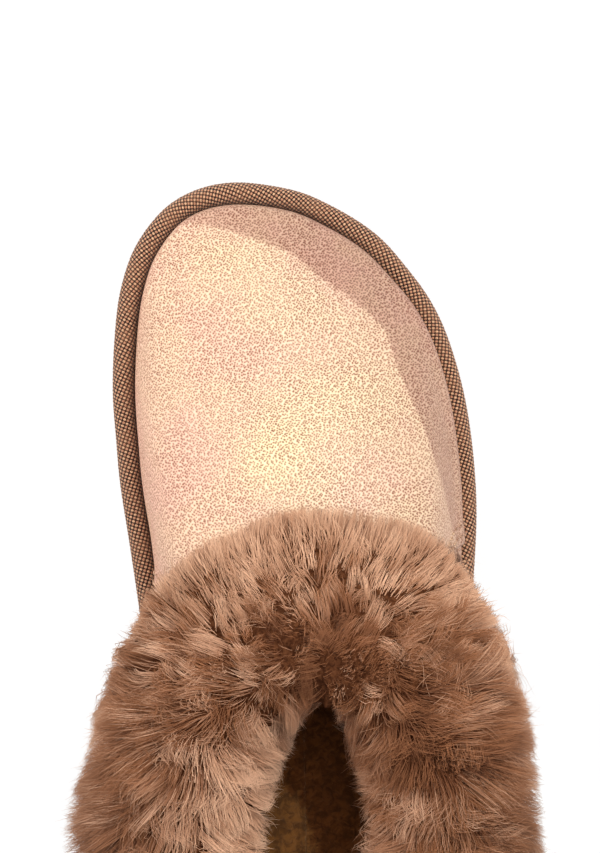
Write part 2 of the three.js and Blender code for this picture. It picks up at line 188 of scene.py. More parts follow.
rand_line, rand_normal, RAND_LEN = closed_curve(RAND, 4.0)
collar_line, _, _ = closed_curve(COLLAR, 3.0)


def around(table, u):
    """Looks up a closed table at u."""
    x = (np.asarray(u, float) % 1.0) * TABLE_STEPS
    i = np.floor(x).astype(int) % TABLE_STEPS
    t = (x - np.floor(x))[..., None]
    return table[i] * (1 - t) + table[(i + 1) % TABLE_STEPS] * t


def side(u):
    """Distance in u from the toe, the same on both sides: 0 toe, 0.5 heel."""
    w = np.asarray(u, float) % 1.0
    return np.where(w > 0.5, 1 - w, w)


def pair_offsets():
    """Collar u minus rand u, as a closed table."""
    at = np.linspace(0, 0.5, TABLE_STEPS // 2 + 1)
    x, y = PAIR.T
    slope = np.r_[y[1] / x[1], (y[2:] - y[:-2]) / (x[2:] - x[:-2]), (y[-1] - y[-2]) / (x[-1] - x[-2])]
    k = np.clip(np.searchsorted(x, at, side="right") - 1, 0, len(x) - 2)
    step = x[k + 1] - x[k]
    half = hermite((at - x[k]) / step, y[k], y[k + 1], step * slope[k], step * slope[k + 1])
    full = np.r_[half, (1 - half[1:-1])[::-1]]
    return ease_ring(full - np.arange(TABLE_STEPS) / TABLE_STEPS, 0.012)[:, None]


pair_offset = pair_offsets()


def edge(u, inset, z):
    """Points at an inset from the rand's outer edge and a height."""
    xy = around(rand_line, u) + around(rand_normal, u) * np.asarray(inset, float)[..., None]
    return np.concatenate([xy, np.broadcast_to(z, xy.shape[:-1])[..., None]], -1)


def collar_z(u):
    s = side(u)
    return lerp(lerp(77, 68, smooth(0.08, 0.32, s)), 74, smooth(0.36, 0.5, s))


def skin(u, v):
    """The upper's outer surface: u round the slipper, v from the feather line to the collar."""
    u, v = np.broadcast_arrays(np.asarray(u, float), np.asarray(v, float))
    s = side(u)
    top = around(collar_line, u + around(pair_offset, u)[..., 0])
    foot = edge(u, UPPER_INSET, 0.0)[..., :2]
    # the section is part of a superellipse: rounder and fuller at the toe than on the walls
    walls = smooth(0.14, 0.3, s)
    full = np.radians(lerp(88, 46, walls))
    power = 2 / lerp(2.5, 2.0, walls)
    psi = full * np.clip(v, 0, 1)
    inward = (1 - np.cos(psi) ** power) / (1 - np.cos(full) ** power)
    upward = np.sin(psi) ** power / np.sin(full) ** power
    rise = lerp(23, 4, smooth(0.1, 0.3, s))
    xy = foot * (1 - inward)[..., None] + top * inward[..., None]
    z = UPPER_BASE_Z + (collar_z(u) - UPPER_BASE_Z - rise) * upward + rise * inward
    return np.concatenate([xy, z[..., None]], -1)


def frames(u, v):
    """Point, outward normal and upward direction of the upper."""
    u, v = np.broadcast_arrays(np.asarray(u, float), np.asarray(v, float))
    e = 2e-3
    up = unit(skin(u, np.minimum(v + e, 1)) - skin(u, np.maximum(v - e, 0)))
    along = unit(skin(u + e, v) - skin(u - e, v))
    return skin(u, v), unit(np.cross(up, along)), up


def shell(u, v, offset):
    """Points of the upper moved out along its normal."""
    p, n, _ = frames(u, v)
    return p + n * np.asarray(offset, float)[..., None]


def hem_v(u):
    """v of the cuff's outer hem."""
    return lerp(0.865, 0.36, smooth(0.02, 0.27, side(u)) ** 2.4)


# our own lines are placed in the row frame by the rand's box
wrap_lo, wrap_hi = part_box("platform_wrap")
own_edge = edge(np.arange(40) / 40, 0.0, 0.0)
SHIFT = np.array([
    (wrap_lo[j] + wrap_hi[j]) * 500 - (own_edge[:, j].min() + own_edge[:, j].max()) / 2
    for j in range(2)
] + [0.0])


def to_frame(p):
    """Own millimetres to metres in the row frame."""
    return (np.asarray(p, float) + SHIFT) / 1000


def seen(p):
    """Where a point appears to the camera: x, y on the level VIEW_Z."""
    k = (CAM_HEIGHT - VIEW_Z) / (CAM_HEIGHT - p[..., 2])
    return VIEW_CENTRE + (p[..., :2] - VIEW_CENTRE) * k[..., None]


HASH = np.array([374761393, 668265263, 2147483647])


def noise3(p, scale, seed, octaves=2):
    """Smooth value noise of points, about -1 to 1, the same every run."""
    total, amp, norm = 0.0, 1.0, 0.0
    for octave in range(octaves):
        q = np.asarray(p, float) / scale * (2**octave) + seed * 17.31 + octave * 5.7
        i = np.floor(q).astype(np.int64)
        f = q - i
        f = f * f * (3 - 2 * f)
        acc = 0.0
        for corner in np.ndindex(2, 2, 2):
            corner = np.array(corner)
            h = ((i + corner) * HASH).sum(-1) + seed * 1274126177
            h = (h ^ (h >> 13)) * 1274126177
            h = (h ^ (h >> 16)) & 0xFFFFFF
            acc = acc + np.prod(np.where(corner, f, 1 - f), axis=-1) * (h / 0x7FFFFF - 1)
        total = total + acc * amp
        norm += amp
        amp *= 0.5
    return total / norm


# ------------------------------------------------------------------ mesh helpers
def mesh_object(name, verts, quads, tris=None, points=None, uv=None):
    """A smooth mesh from arrays in mm. points: values per vertex by attribute; uv: by layer."""
    me = bpy.data.meshes.new(name)
    verts = to_frame(verts)
    quads = np.asarray(quads, int)
    tris = np.zeros((0, 3), int) if tris is None else np.asarray(tris, int)
    loops = np.concatenate([quads.ravel(), tris.ravel()])
    me.vertices.add(len(verts))
    me.vertices.foreach_set("co", verts.astype(np.float32).ravel())
    me.loops.add(len(loops))
    me.loops.foreach_set("vertex_index", loops.astype(np.int32))
    starts = np.r_[np.arange(len(quads)) * 4, len(quads) * 4 + np.arange(len(tris)) * 3]
    me.polygons.add(len(starts))
    me.polygons.foreach_set("loop_start", starts.astype(np.int32))
    me.polygons.foreach_set("use_smooth", np.full(len(starts), True))
    me.update(calc_edges=True)
    for key, value in (points or {}).items():
        attribute = me.attributes.new(key, "FLOAT", "POINT")
        attribute.data.foreach_set("value", np.asarray(value, np.float32).ravel())
    for key, value in (uv or {}).items():
        layer = me.uv_layers.new(name=key)
        layer.data.foreach_set("uv", np.asarray(value, np.float32)[loops].ravel())
    return link_mesh(name, me)


def link_mesh(name, me):
    ob = bpy.data.objects.new(name, me)
    bpy.context.scene.collection.objects.link(ob)
    return ob


def fix_normals(ob, weld=0.0, fill=False):
    """Faces look outward; close points (weld, m) are merged and holes filled first."""
    bm = bmesh.new()
    bm.from_mesh(ob.data)
    if weld:
        bmesh.ops.remove_doubles(bm, verts=bm.verts, dist=weld)
    if fill:
        bmesh.ops.holes_fill(bm, edges=[e for e in bm.edges if e.is_boundary], sides=0)
        bmesh.ops.triangulate(bm, faces=[f for f in bm.faces if len(f.verts) > 4])
    bmesh.ops.recalc_face_normals(bm, faces=bm.faces)
    bm.to_mesh(ob.data)
    bm.free()
    ob.data.update()
    return ob


def grid_quads(n, m, wrap_n=False, wrap_m=False, base=0):
    i = np.arange(n if wrap_n else n - 1)[:, None]
    j = np.arange(m if wrap_m else m - 1)[None, :]
    a, b = i * m + j, i * m + (j + 1) % m
    c, d = ((i + 1) % n) * m + j, ((i + 1) % n) * m + (j + 1) % m
    return np.stack([a, b, d, c], -1).reshape(-1, 4) + base


def thick_sheet(name, outer, inner, ring=False, points=None):
    """A closed shell from two equal grids of points; a ring wraps in its first direction."""
    n, m = outer.shape[:2]
    count = n * m
    quads = [grid_quads(n, m, ring), grid_quads(n, m, ring, base=count)[:, ::-1]]
    keep, flip = [0, 1, 2, 3], [0, 3, 2, 1]
    if ring:
        first = np.arange(n) * m
        rims = ((first, keep), (first + m - 1, flip))
    else:
        rim = np.r_[np.arange(n - 1) * m, (n - 1) * m + np.arange(m - 1),
                    np.arange(n - 1, 0, -1) * m + m - 1, np.arange(m - 1, 0, -1)]
        rims = ((rim, keep),)
    for rim, order in rims:
        after = np.roll(rim, -1)
        quads.append(np.stack([rim, after, after + count, rim + count], -1)[:, order])
    verts = np.concatenate([outer.reshape(-1, 3), inner.reshape(-1, 3)])
    return fix_normals(mesh_object(name, verts, np.vstack(quads), points=points))


def rings(centres, along, radii, sides):
    """Rings of points round centres (n, k, 3), square to the directions along."""
    ref = np.where(np.abs(along[..., 2:3]) > 0.9, np.array([1.0, 0, 0]), np.array([0, 0, 1.0]))
    x = unit(np.cross(along, ref))[:, :, None, :]
    y = np.cross(along[:, :, None, :], x)
    w = (np.arange(sides) / sides * TAU)[:, None]
    return centres[:, :, None, :] + radii[..., None, None] * (np.cos(w) * x + np.sin(w) * y)


def tube_mesh(paths, radii, sides):
    """Many tubes at once, closed at both ends: paths (n, k, 3), radii (n, k)."""
    n, k, _ = paths.shape
    ring = rings(paths, unit(np.gradient(paths, axis=1)), radii, sides)
    first = (np.arange(n) * k * sides)[:, None]
    i = np.arange(k - 1)[None, :, None] * sides
    j = np.arange(sides)[None, None, :]
    a, b = first[:, :, None] + i + j, first[:, :, None] + i + (j + 1) % sides
    quads = np.stack([a, b, b + sides, a + sides], -1).reshape(-1, 4)
    tris = []
    for s in range(1, sides - 1):
        tris += [first + np.array([0, s + 1, s]), first + (k - 1) * sides + np.array([0, s, s + 1])]
    return ring.reshape(-1, 3), quads, np.concatenate(tris)


def dress(ob, mat, node=None, bends=False):
    """Gives a piece its material and slot, the CAD node it replaces, and how it moves."""
    ob.data.materials.clear()
    ob.data.materials.append(mat.material)
    if node:
        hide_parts(node)
    if bends:
        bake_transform(ob)
    else:
        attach(ob, "slipper")
    return ob


# ------------------------------------------------------------------ node helpers
def srgb(c):
    """0-255 colour to linear."""
    return tuple(
        ((x / 255 + 0.055) / 1.055) ** 2.4 if x / 255 > 0.04045 else x / 255 / 12.92 for x in c)


class Nodes:
    """Short ways to add nodes to a tree. An input may be a value or another node's output."""

    def __init__(self, tree):
        self.tree = tree

    def put(self, socket, value):
        if isinstance(value, bpy.types.NodeSocket):
            self.tree.links.new(value, socket)
        else:
            socket.default_value = value

    def add(self, kind, inputs=None, **props):
        node = self.tree.nodes.new(kind)
        for key, value in props.items():
            setattr(node, key, value)
        for key, value in (inputs or {}).items():
            self.put(node.inputs[key], value)
        return node

    def math(self, op, *values):
        return self.add("ShaderNodeMath", dict(enumerate(values)), operation=op).outputs[0]

    def vmath(self, op, *values, out=0):
        return self.add("ShaderNodeVectorMath", dict(enumerate(values)), operation=op).outputs[out]

    def scaled(self, vec, scale):
        inputs = {0: vec, "Scale": scale}
        return self.add("ShaderNodeVectorMath", inputs, operation="SCALE").outputs[0]

    def split(self, vec):
        return self.add("ShaderNodeSeparateXYZ", {0: vec}).outputs

    def coords(self, kind="Object"):
        return self.add("ShaderNodeTexCoord").outputs[kind]

    def attr(self, name):
        return self.add("ShaderNodeAttribute", attribute_name=name).outputs["Fac"]

    def noise(self, vec, scale, detail=2.0, rough=0.5, distortion=0.0, out="Fac"):
        inputs = dict(Vector=vec, Scale=scale, Detail=detail, Roughness=rough, Distortion=distortion)
        return self.add("ShaderNodeTexNoise", inputs).outputs[out]

    def voronoi(self, vec, scale, feature="F1"):
        inputs = dict(Vector=vec, Scale=scale)
        return self.add("ShaderNodeTexVoronoi", inputs, feature=feature).outputs["Distance"]

    def ramp(self, fac, stops):
        """stops: place, then an RGB colour in 0-255 or a linear RGBA colour."""
        node = self.add("ShaderNodeValToRGB")
        stops_out = node.color_ramp.elements
        while len(stops_out) > 1:
            stops_out.remove(stops_out[0])
        for i, (place, colour) in enumerate(stops):
            stop = stops_out.new(place) if i else stops_out[0]
            stop.position = place
            stop.color = (*srgb(colour), 1) if len(colour) == 3 else colour
        self.put(node.inputs[0], fac)
        return node.outputs[0]

    def range(self, value, span, to=(0.0, 1.0), kind="SMOOTHSTEP"):
        """Maps span on to another span, held at its ends."""
        names = ("Value", "From Min", "From Max", "To Min", "To Max")
        inputs = dict(zip(names, (value, *span, *to)))
        return self.add("ShaderNodeMapRange", inputs, interpolation_type=kind).outputs["Result"]

    def mix(self, fac, a, b):
        """Colour a towards colour b by fac."""
        a, b = ((*srgb(c), 1) if isinstance(c, tuple) else c for c in (a, b))
        return self.add("ShaderNodeMix", {0: fac, 6: a, 7: b}, data_type="RGBA").outputs[2]

    def bump(self, height, strength, distance, normal=None):
        inputs = dict(Strength=strength, Distance=distance, Height=height)
        if normal is not None:
            inputs["Normal"] = normal
        return self.add("ShaderNodeBump", inputs).outputs[0]


class Mat(Nodes):
    """A new material with a Principled surface."""

    def __init__(self, name):
        self.material = bpy.data.materials.new(name)
        self.material.use_nodes = True
        super().__init__(self.material.node_tree)
        self.tree.nodes.clear()
        self.out = self.add("ShaderNodeOutputMaterial")
        self.bsdf = self.add("ShaderNodeBsdfPrincipled")
        self.put(self.out.inputs["Surface"], self.bsdf.outputs[0])

    def shade(self, **values):
        """Sets Principled inputs by name; tuples are 0-255 colours."""
        for key, value in values.items():
            if isinstance(value, tuple):
                value = (*srgb(value), 1)
            self.put(self.bsdf.inputs[key.replace("_", " ")], value)
        return self


# ------------------------------------------------------------------ materials
# Leather colours: two base tones, a golden painted highlight, a rosy cast, grain tops with painted
# highlight, grain pits (own darker pores, mostly painted shade)
LEATHER_A, LEATHER_B, LEATHER_PAINTED_HIGHLIGHT = (224, 184, 152), (222, 174, 150), (234, 203, 158)
LEATHER_PINK, LEATHER_TOP_HIGHLIGHT, LEATHER_PIT_SHADE = (217, 162, 142), (240, 208, 180), (122, 58, 32)
# painted shade in the creases; a mauve at a slant, partly pearl finish, partly painted shade
LEATHER_CREASE_SHADE, LEATHER_SLANT_SHADE = (150, 100, 74), (180, 132, 116)
GRAIN_TURN = math.radians(33)


def leather_grain(m, co, warp):
    """Flat grain coordinates, laid on from above, from the side or from the front."""
    facing = m.split(m.vmath("ABSOLUTE", m.coords("Normal")))
    place = m.split(warp)
    # the borders between the three directions are broken up a little
    jig = m.math("MULTIPLY", m.math("SUBTRACT", m.noise(co, scale=300, detail=1.0), 0.5), 0.16)
    top = m.math("GREATER_THAN", m.math("ADD", facing[2], jig), 0.5)
    ahead = m.math("GREATER_THAN", m.math("ADD", facing[1], jig), facing[0])

    def pick(which, a, b):
        return m.math("ADD", a, m.math("MULTIPLY", which, m.math("SUBTRACT", b, a)))

    def turned(a, a_share, b, b_share):
        return m.math("ADD", m.math("MULTIPLY", a, a_share), m.math("MULTIPLY", b, b_share))

    a = pick(top, pick(ahead, place[1], place[0]), place[0])
    b = pick(top, place[2], place[1])
    sin, cos = math.sin(GRAIN_TURN), math.cos(GRAIN_TURN)
    inputs = {0: turned(a, cos, b, -sin), 1: turned(a, sin, b, cos)}
    return m.add("ShaderNodeCombineXYZ", inputs).outputs[0]


def leather_material():
    m = Mat("pebbled_leather")
    co = m.coords()
    warp = m.vmath("ADD", co, m.scaled(m.noise(co, scale=700, detail=1.0, out="Color"), 0.0007))
    warp = m.vmath("ADD", warp, m.scaled(m.noise(co, scale=42, detail=1.0, out="Color"), 0.003))
    # pebble: pale cells about 0.75 mm across, with dark pits
    inputs = dict(Vector=leather_grain(m, co, warp), Scale=1360, Randomness=0.70)
    cells = m.add("ShaderNodeTexVoronoi", inputs, feature="F1", voronoi_dimensions="2D").outputs
    d = cells["Distance"]
    chance = m.add("ShaderNodeSeparateColor", {0: cells["Color"]}).outputs
    # every pit has its own size and depth
    size = m.range(chance[0], (0, 1), to=(0.42, 0.58), kind="LINEAR")
    pit = m.range(d, (m.math("MULTIPLY", size, 0.35), size), to=(1.0, 0.0))
    depth = m.range(chance[1], (0, 1), to=(0.7, 1.0), kind="LINEAR")
    pit = m.math("MULTIPLY", pit, depth)
    edges = m.voronoi(warp, scale=760, feature="DISTANCE_TO_EDGE")
    crease = m.range(edges, (0.0, 0.09), to=(1.0, 0.0))
    # the grain is stretched flat in a narrow strip along the feather line
    tight = m.attr("feather")
    pit = m.math("MULTIPLY", pit, m.range(tight, (0.15, 0.9), to=(1.0, 0.1)))
    patchy = m.noise(co, scale=60)
    pit = m.math("MULTIPLY", pit, m.range(patchy, (0.3, 0.7), to=(0.8, 1.0)))
    # soft mottling, gold to peach, and painted highlight: pale gold patches on the crown where the light
    # falls brightest
    mottle = m.noise(co, scale=36, detail=3.0, rough=0.55)
    fine = m.noise(co, scale=420, detail=3.0, rough=0.6)
    tone = m.mix(m.range(mottle, (0.38, 0.64)), LEATHER_A, LEATHER_B)
    tone = m.mix(m.math("MULTIPLY", m.attr("glow"), 0.8), tone, LEATHER_PAINTED_HIGHLIGHT)
    tone = m.mix(m.range(fine, (0.35, 0.7), to=(0.0, 0.25)), tone, LEATHER_PINK)
    # painted highlight: the raised grain, away from the pits, is paler
    tone = m.mix(m.math("MULTIPLY", m.range(d, (0.5, 0.8)), 0.35), tone, LEATHER_TOP_HIGHLIGHT)
    # painted highlight along the feather strip; painted shade in the creases, and in the pits over their
    # own darker colour
    for mask, share, colour in ((tight, 0.2, LEATHER_TOP_HIGHLIGHT), (crease, 0.10, LEATHER_CREASE_SHADE),
                                (pit, 0.95, LEATHER_PIT_SHADE)):
        tone = m.mix(m.math("MULTIPLY", mask, share), tone, colour)
    # the leather turns mauve where it is seen at a slant, most on the lateral side: partly the pearl
    # finish, partly painted shade where the light falls off
    facing = m.add("ShaderNodeLayerWeight", dict(Blend=0.5)).outputs["Facing"]
    place = m.split(co)
    slant_shade = m.math("MULTIPLY", m.range(facing, (0.3, 0.9), to=(0.0, 0.45)),
                   m.range(place[0], (-0.02, 0.02), to=(0.15, 1.0)))
    tone = m.mix(slant_shade, tone, LEATHER_SLANT_SHADE)
    # relief: grain tops, less pits, less creases
    height = m.math("SUBTRACT", m.math("MULTIPLY", m.range(d, (0.2, 0.8)), 0.6),
                    m.math("MULTIPLY", pit, 0.8))
    height = m.math("ADD", height, m.math("MULTIPLY", crease, -0.25))
    soft = m.bump(fine, strength=0.12, distance=0.0006)
    return m.shade(
        Base_Color=tone, Roughness=m.range(pit, (0, 1), to=(0.5, 0.75)), Specular_IOR_Level=0.4,
        Sheen_Weight=0.08, Sheen_Roughness=0.4, Sheen_Tint=(255, 226, 190), Coat_Weight=0.06,
        Coat_Roughness=0.4, Normal=m.bump(height, strength=0.5, distance=0.0002, normal=soft))


# The weave: yarn pitches (mm), tilt, and whole counts of yarns round the rand
WEAVE_A, WEAVE_B = 1.02, 1.18
WEAVE_TILT = math.radians(24)
YARNS_A = round(RAND_LEN * math.cos(WEAVE_TILT) / WEAVE_A)
YARNS_B = round(RAND_LEN * math.sin(WEAVE_TILT) / WEAVE_B)
YARNS_B += (YARNS_A + YARNS_B) % 2  # an even sum closes the over-under pattern
WEAVE_SIN, WEAVE_COS = math.sin(WEAVE_TILT) / WEAVE_A, math.cos(WEAVE_TILT) / WEAVE_B
YARN_ROUND = 0.45  # how blunt a yarn's ends are


def weave_height(s, t):
    """Yarn height at s along and t across, in mm."""
    a = s * YARNS_A / RAND_LEN + t * WEAVE_SIN
    b = -s * YARNS_B / RAND_LEN + t * WEAVE_COS
    over = (np.floor(a) + np.floor(b)) % 2
    ca = np.cos(math.pi * (a - np.floor(a) - 0.5))
    cb = np.cos(math.pi * (b - np.floor(b) - 0.5))
    return np.where(over < 0.5, ca * np.maximum(cb, 0) ** YARN_ROUND,
                    cb * np.maximum(ca, 0) ** YARN_ROUND)


def weave_nodes(m, s, t):
    """The same pattern in nodes: height, which yarn is over, and the holes between."""

    def turned(along, across):
        return m.math("ADD", m.math("MULTIPLY", s, along), m.math("MULTIPLY", t, across))

    def yarn(crown, length):
        return m.math("MULTIPLY", crown,
                      m.math("POWER", m.math("MAXIMUM", length, 0.0), YARN_ROUND))

    a = turned(YARNS_A / RAND_LEN, WEAVE_SIN)
    b = turned(-YARNS_B / RAND_LEN, WEAVE_COS)
    fa = m.math("SUBTRACT", m.math("FRACT", a), 0.5)
    fb = m.math("SUBTRACT", m.math("FRACT", b), 0.5)
    cell = m.math("ADD", m.math("FLOOR", a), m.math("FLOOR", b))
    over = m.math("MODULO", m.math("ADD", cell, 4000.0), 2.0)  # the added count keeps it positive
    ca = m.math("COSINE", m.math("MULTIPLY", fa, math.pi))
    cb = m.math("COSINE", m.math("MULTIPLY", fb, math.pi))
    ha, hb = yarn(ca, cb), yarn(cb, ca)
    height = m.math("ADD", m.math("MULTIPLY", ha, m.math("SUBTRACT", 1.0, over)),
                    m.math("MULTIPLY", hb, over))
    squares = m.math("ADD", m.math("MULTIPLY", fa, fa), m.math("MULTIPLY", fb, fb))
    return height, over, m.range(m.math("SQRT", squares), (0.27, 0.49))


def rand_material(crest):
    """crest: distance across the profile of its highest point; beyond it the rand darkens with painted
    shade, down into the groove under the upper.
    """
    m = Mat("woven_rand")
    place = m.split(m.add("ShaderNodeUVMap", uv_map="weave").outputs[0])
    across = place[1]
    height, over, hole = weave_nodes(m, place[0], across)
    co = m.coords()
    fibre_stretch = (1, 1, 1)
    fibre = m.noise(m.vmath("MULTIPLY", co, fibre_stretch), scale=4200, rough=0.6)
    drift = m.noise(co, scale=160)
    tan = m.mix(fibre, (184, 140, 108), (216, 172, 136))
    pink = m.mix(fibre, (156, 106, 80), (192, 140, 110))
    col = m.mix(over, tan, pink)
    # painted shade: darker where the yarns dip low, nearly black in the holes between them
    col = m.mix(m.range(height, (0.1, 0.75), to=(0.75, 0.0)), col, (120, 72, 44))
    col = m.mix(hole, col, (34, 14, 5))
    col = m.mix(m.range(drift, (0.35, 0.7), to=(0.0, 0.22)), col, (150, 104, 76))
    # painted shade down the inner side of the rand, into the groove under the upper
    inner = m.range(across, (crest + 0.6, crest + 4.4), to=(0.0, 0.6))
    col = m.mix(inner, col, (52, 24, 12))
    yarn = m.math("ADD", height, m.math("MULTIPLY", fibre, 0.18))
    return m.shade(Base_Color=col, Roughness=0.82, Specular_IOR_Level=0.25, Sheen_Weight=0.15,
                   Sheen_Roughness=0.5, Normal=m.bump(yarn, strength=0.8, distance=0.0003))


# Hair colours from root to tip for the dark, middle and light tones; the near-black roots are mostly
# painted shade deep in the pile
FUR_RAMPS = (
    [(0.0, (28, 12, 5)), (0.5, (74, 40, 22)), (1.0, (116, 72, 46))],
    [(0.0, (34, 15, 7)), (0.5, (110, 64, 37)), (1.0, (168, 112, 76))],
    [(0.0, (126, 80, 54)), (0.35, (190, 140, 108)), (1.0, (236, 191, 159))],
)


def fur_material():
    m = Mat("long_pile")
    along, tone = m.attr("along"), m.attr("tone")
    dark, middle, light = (m.ramp(along, stops) for stops in FUR_RAMPS)
    col = m.mix(m.range(tone, (0.0, 0.5), kind="LINEAR"), dark, middle)
    col = m.mix(m.range(tone, (0.5, 1.0), kind="LINEAR"), col, light)
    return m.shade(Base_Color=col, Roughness=0.7, Specular_IOR_Level=0.15, Sheen_Weight=0.2,
                   Sheen_Roughness=0.5, Sheen_Tint=(255, 220, 196))


def fleece_material(name, light, dark, scale, sheen=0.3):
    m = Mat(name)
    co = m.coords()
    tufts = m.noise(co, scale=scale, detail=4.0, rough=0.62, distortion=0.6)
    broad = m.noise(co, scale=90)
    col = m.mix(m.range(tufts, (0.36, 0.64)), dark, light)
    col = m.mix(m.range(broad, (0.35, 0.65), to=(0.0, 0.4)), col, dark)
    return m.shade(Base_Color=col, Roughness=0.95, Specular_IOR_Level=0.05, Sheen_Weight=sheen,
                   Sheen_Roughness=0.6, Sheen_Tint=(255, 200, 160),
                   Normal=m.bump(tufts, strength=0.9, distance=0.0012))


def plain_material(name, light, dark, scale, rough, bump, depth, cells=False):
    """Foams, boards, rubber: a flecked or cellular colour with its own fine relief."""
    m = Mat(name)
    co = m.coords()
    fleck = m.voronoi(co, scale) if cells else m.noise(co, scale=scale, detail=4.0, rough=0.6)
    broad = m.noise(co, scale=scale / 12)
    col = m.mix(m.range(fleck, (0.3, 0.7)), light, dark)
    col = m.mix(m.range(broad, (0.35, 0.7), to=(0.0, 0.3)), col, dark)
    roughness = m.range(fleck, (0.3, 0.7), to=(rough - 0.06, min(1.0, rough + 0.06)))
    return m.shade(Base_Color=col, Roughness=roughness, Specular_IOR_Level=0.3,
                   Normal=m.bump(fleck, strength=bump, distance=depth))


def thread_material():
    m = Mat("stitch_thread")
    twist = m.add("ShaderNodeTexWave", dict(Vector=m.coords(), Scale=900), wave_type="BANDS",
                  bands_direction="DIAGONAL").outputs["Fac"]
    return m.shade(Base_Color=m.mix(twist, (150, 106, 78), (212, 170, 138)), Roughness=0.6,
                   Sheen_Weight=0.2, Normal=m.bump(twist, strength=0.5, distance=0.0001))


# ------------------------------------------------------------------ rand (woven platform edge)
def arc(centre, r, start, end, n):
    w = np.radians(np.linspace(start, end, n))
    return np.stack([centre[0] - r * np.cos(w), centre[1] + r * np.sin(w)], 1)


# Section of the rand: inset from its outer edge, height
CORD = (CORD_INSET, CORD_Z)
outer_path = np.vstack([
    [[9, 5.3], [6, 5.3], [3.4, 5.3]],
    arc((1.9, 7.2), 1.9, -80, -10, 4),
    np.stack([np.zeros(12), np.linspace(8.2, 20.6, 12)], 1),
    arc(CORD, WRAP_R, -8, 180, 30),
    [[6.6, 21.8], [6.6, 20.9]],
])
inner_path = np.vstack([
    [[5.8, 20.9], [5.7, 22.4]],
    arc(CORD, 2.4, 176, 4, 9),
    [[0.9, 20], [0.9, 14], [0.9, 8.2], [2.1, 6.3], [5, 6.2], [9, 6.2]],
])
WEAVE_RELIEF = 0.24


def build_rand():
    across = np.r_[0, np.cumsum(np.linalg.norm(np.diff(outer_path, axis=0), axis=1))]
    crest = float(across[np.argmax(outer_path[:, 1])])
    n = 1980
    u = np.arange(n) / n
    prof = np.vstack([outer_path, inner_path])
    k, k_outer = len(prof), len(outer_path)
    pts = edge(u[:, None], prof[:, 0], prof[:, 1])
    d = np.gradient(outer_path, axis=0)
    outward = unit(np.stack([-d[:, 1], d[:, 0]], 1))  # inset and height shares
    s = u[:, None] * RAND_LEN
    fade = smooth(3, 6, across) * (1 - smooth(across[-1] - 1.2, across[-1], across))
    # hand-wrapped fabric: uneven in fullness, with slight puckers on the inner side of the crest
    p = pts[:, :k_outer]
    lump = noise3(p, 22, 3) * 0.28
    pucker = np.sin(s * TAU / 5.3 + 2.0 * noise3(p, 15, 8, 1)) * 0.09
    pucker = pucker * smooth(crest, crest + 4, across)
    height = ((weave_height(s, across) - 0.55) * WEAVE_RELIEF + lump + pucker) * fade
    off = outward[None] * height[..., None]
    pts[:, :k_outer, :2] += around(rand_normal, u)[:, None, :] * off[..., :1]
    pts[:, :k_outer, 2] += off[..., 1]
    uvs = np.zeros((n, k, 2))
    uvs[..., 0] = s
    uvs[:, :k_outer, 1] = across
    uvs[:, k_outer:, 1] = across[-1] + 1
    # the seam column repeats the first, so the pattern never runs backwards inside a face
    pts = np.concatenate([pts, pts[:1]], 0)
    uvs = np.concatenate([uvs, uvs[:1] + np.array([RAND_LEN, 0])], 0)
    ob = mesh_object("rand_weave", pts.reshape(-1, 3), grid_quads(n + 1, k, wrap_m=True),
                     uv={"weave": uvs.reshape(-1, 2)})
    fix_normals(ob, weld=1e-7)
    dress(ob, rand_material(crest), "platform_wrap", bends=True)


build_rand()

# ------------------------------------------------------------------ leather upper
leather = leather_material()
# Painted highlights on the leather: x, y as seen, radius (mm), strength (a negative one takes highlight
# away)
PAINTED_HIGHLIGHTS = ((-6.0, 52.1, 12.6, 1.0), (10.5, 70.1, 18.0, 0.45), (-18.0, 113.6, 13.5, 0.3),
         (-28.5, 62.6, 12.0, -0.3))


def upper_relief(p, v):
    """Slight softness of the hide: broad lows and highs, in mm along the normal."""
    return (noise3(p, 34, 21) * 0.5 + noise3(p, 11, 22) * 0.10) * smooth(0.02, 0.2, v)


def leather_patch(name, u_span, nu, nv, lift, inner):
    """A panel from the feather line to the collar; inner is the offset of its back face."""
    u, v = np.meshgrid(np.linspace(*u_span, nu), np.linspace(0, 1, nv) ** 1.12, indexing="ij")
    p, n, _ = frames(u, v)
    # the lasted edge rolls in to the seam under the rand's crown
    shape = lift(u, v) - 0.4 * bell(v, 0.028)
    outer = p + n * (upper_relief(p, v) + shape)[..., None]
    feather = bell(v, 0.04)
    at = seen(outer)
    # glow: painted highlight, pale gold where the light falls brightest on the crown
    glow = sum(share * bell(np.hypot(at[..., 0] - x, at[..., 1] - y), radius)
               for x, y, radius, share in PAINTED_HIGHLIGHTS)
    glow = np.clip(glow, 0, 1)
    points = {"feather": np.tile(feather.ravel(), 2), "glow": np.tile(glow.ravel(), 2)}
    return thick_sheet(name, outer, p + n * (inner + shape)[..., None], points=points)


def overhang(u, v):
    """Low on the wall the fuller upper stands out over the rand's inner shoulder."""
    s = side(u)
    lateral = lerp(1.3, 2.0, smooth(0.03, 0.12, s))
    medial = lerp(1.3, 0.4, smooth(0.02, 0.10, s)) + 0.9 * smooth(0.19, 0.26, s)
    amount = np.where((np.asarray(u) % 1) < 0.5, lateral, medial)
    return amount * (1 - smooth(0.32, 0.42, s)) * bell(v - 0.11, 0.065)


def vamp_lift(u, v):
    """Overhang, the vamp's raised edge over the quarters, and a fuller lateral wall."""
    lap = 0.75 * smooth(CUT - 0.014, CUT - 0.001, np.abs(u))
    return overhang(u, v) + lap + 1.0 * bell(v - 0.16, 0.12) * smooth(0.02, 0.16, u)


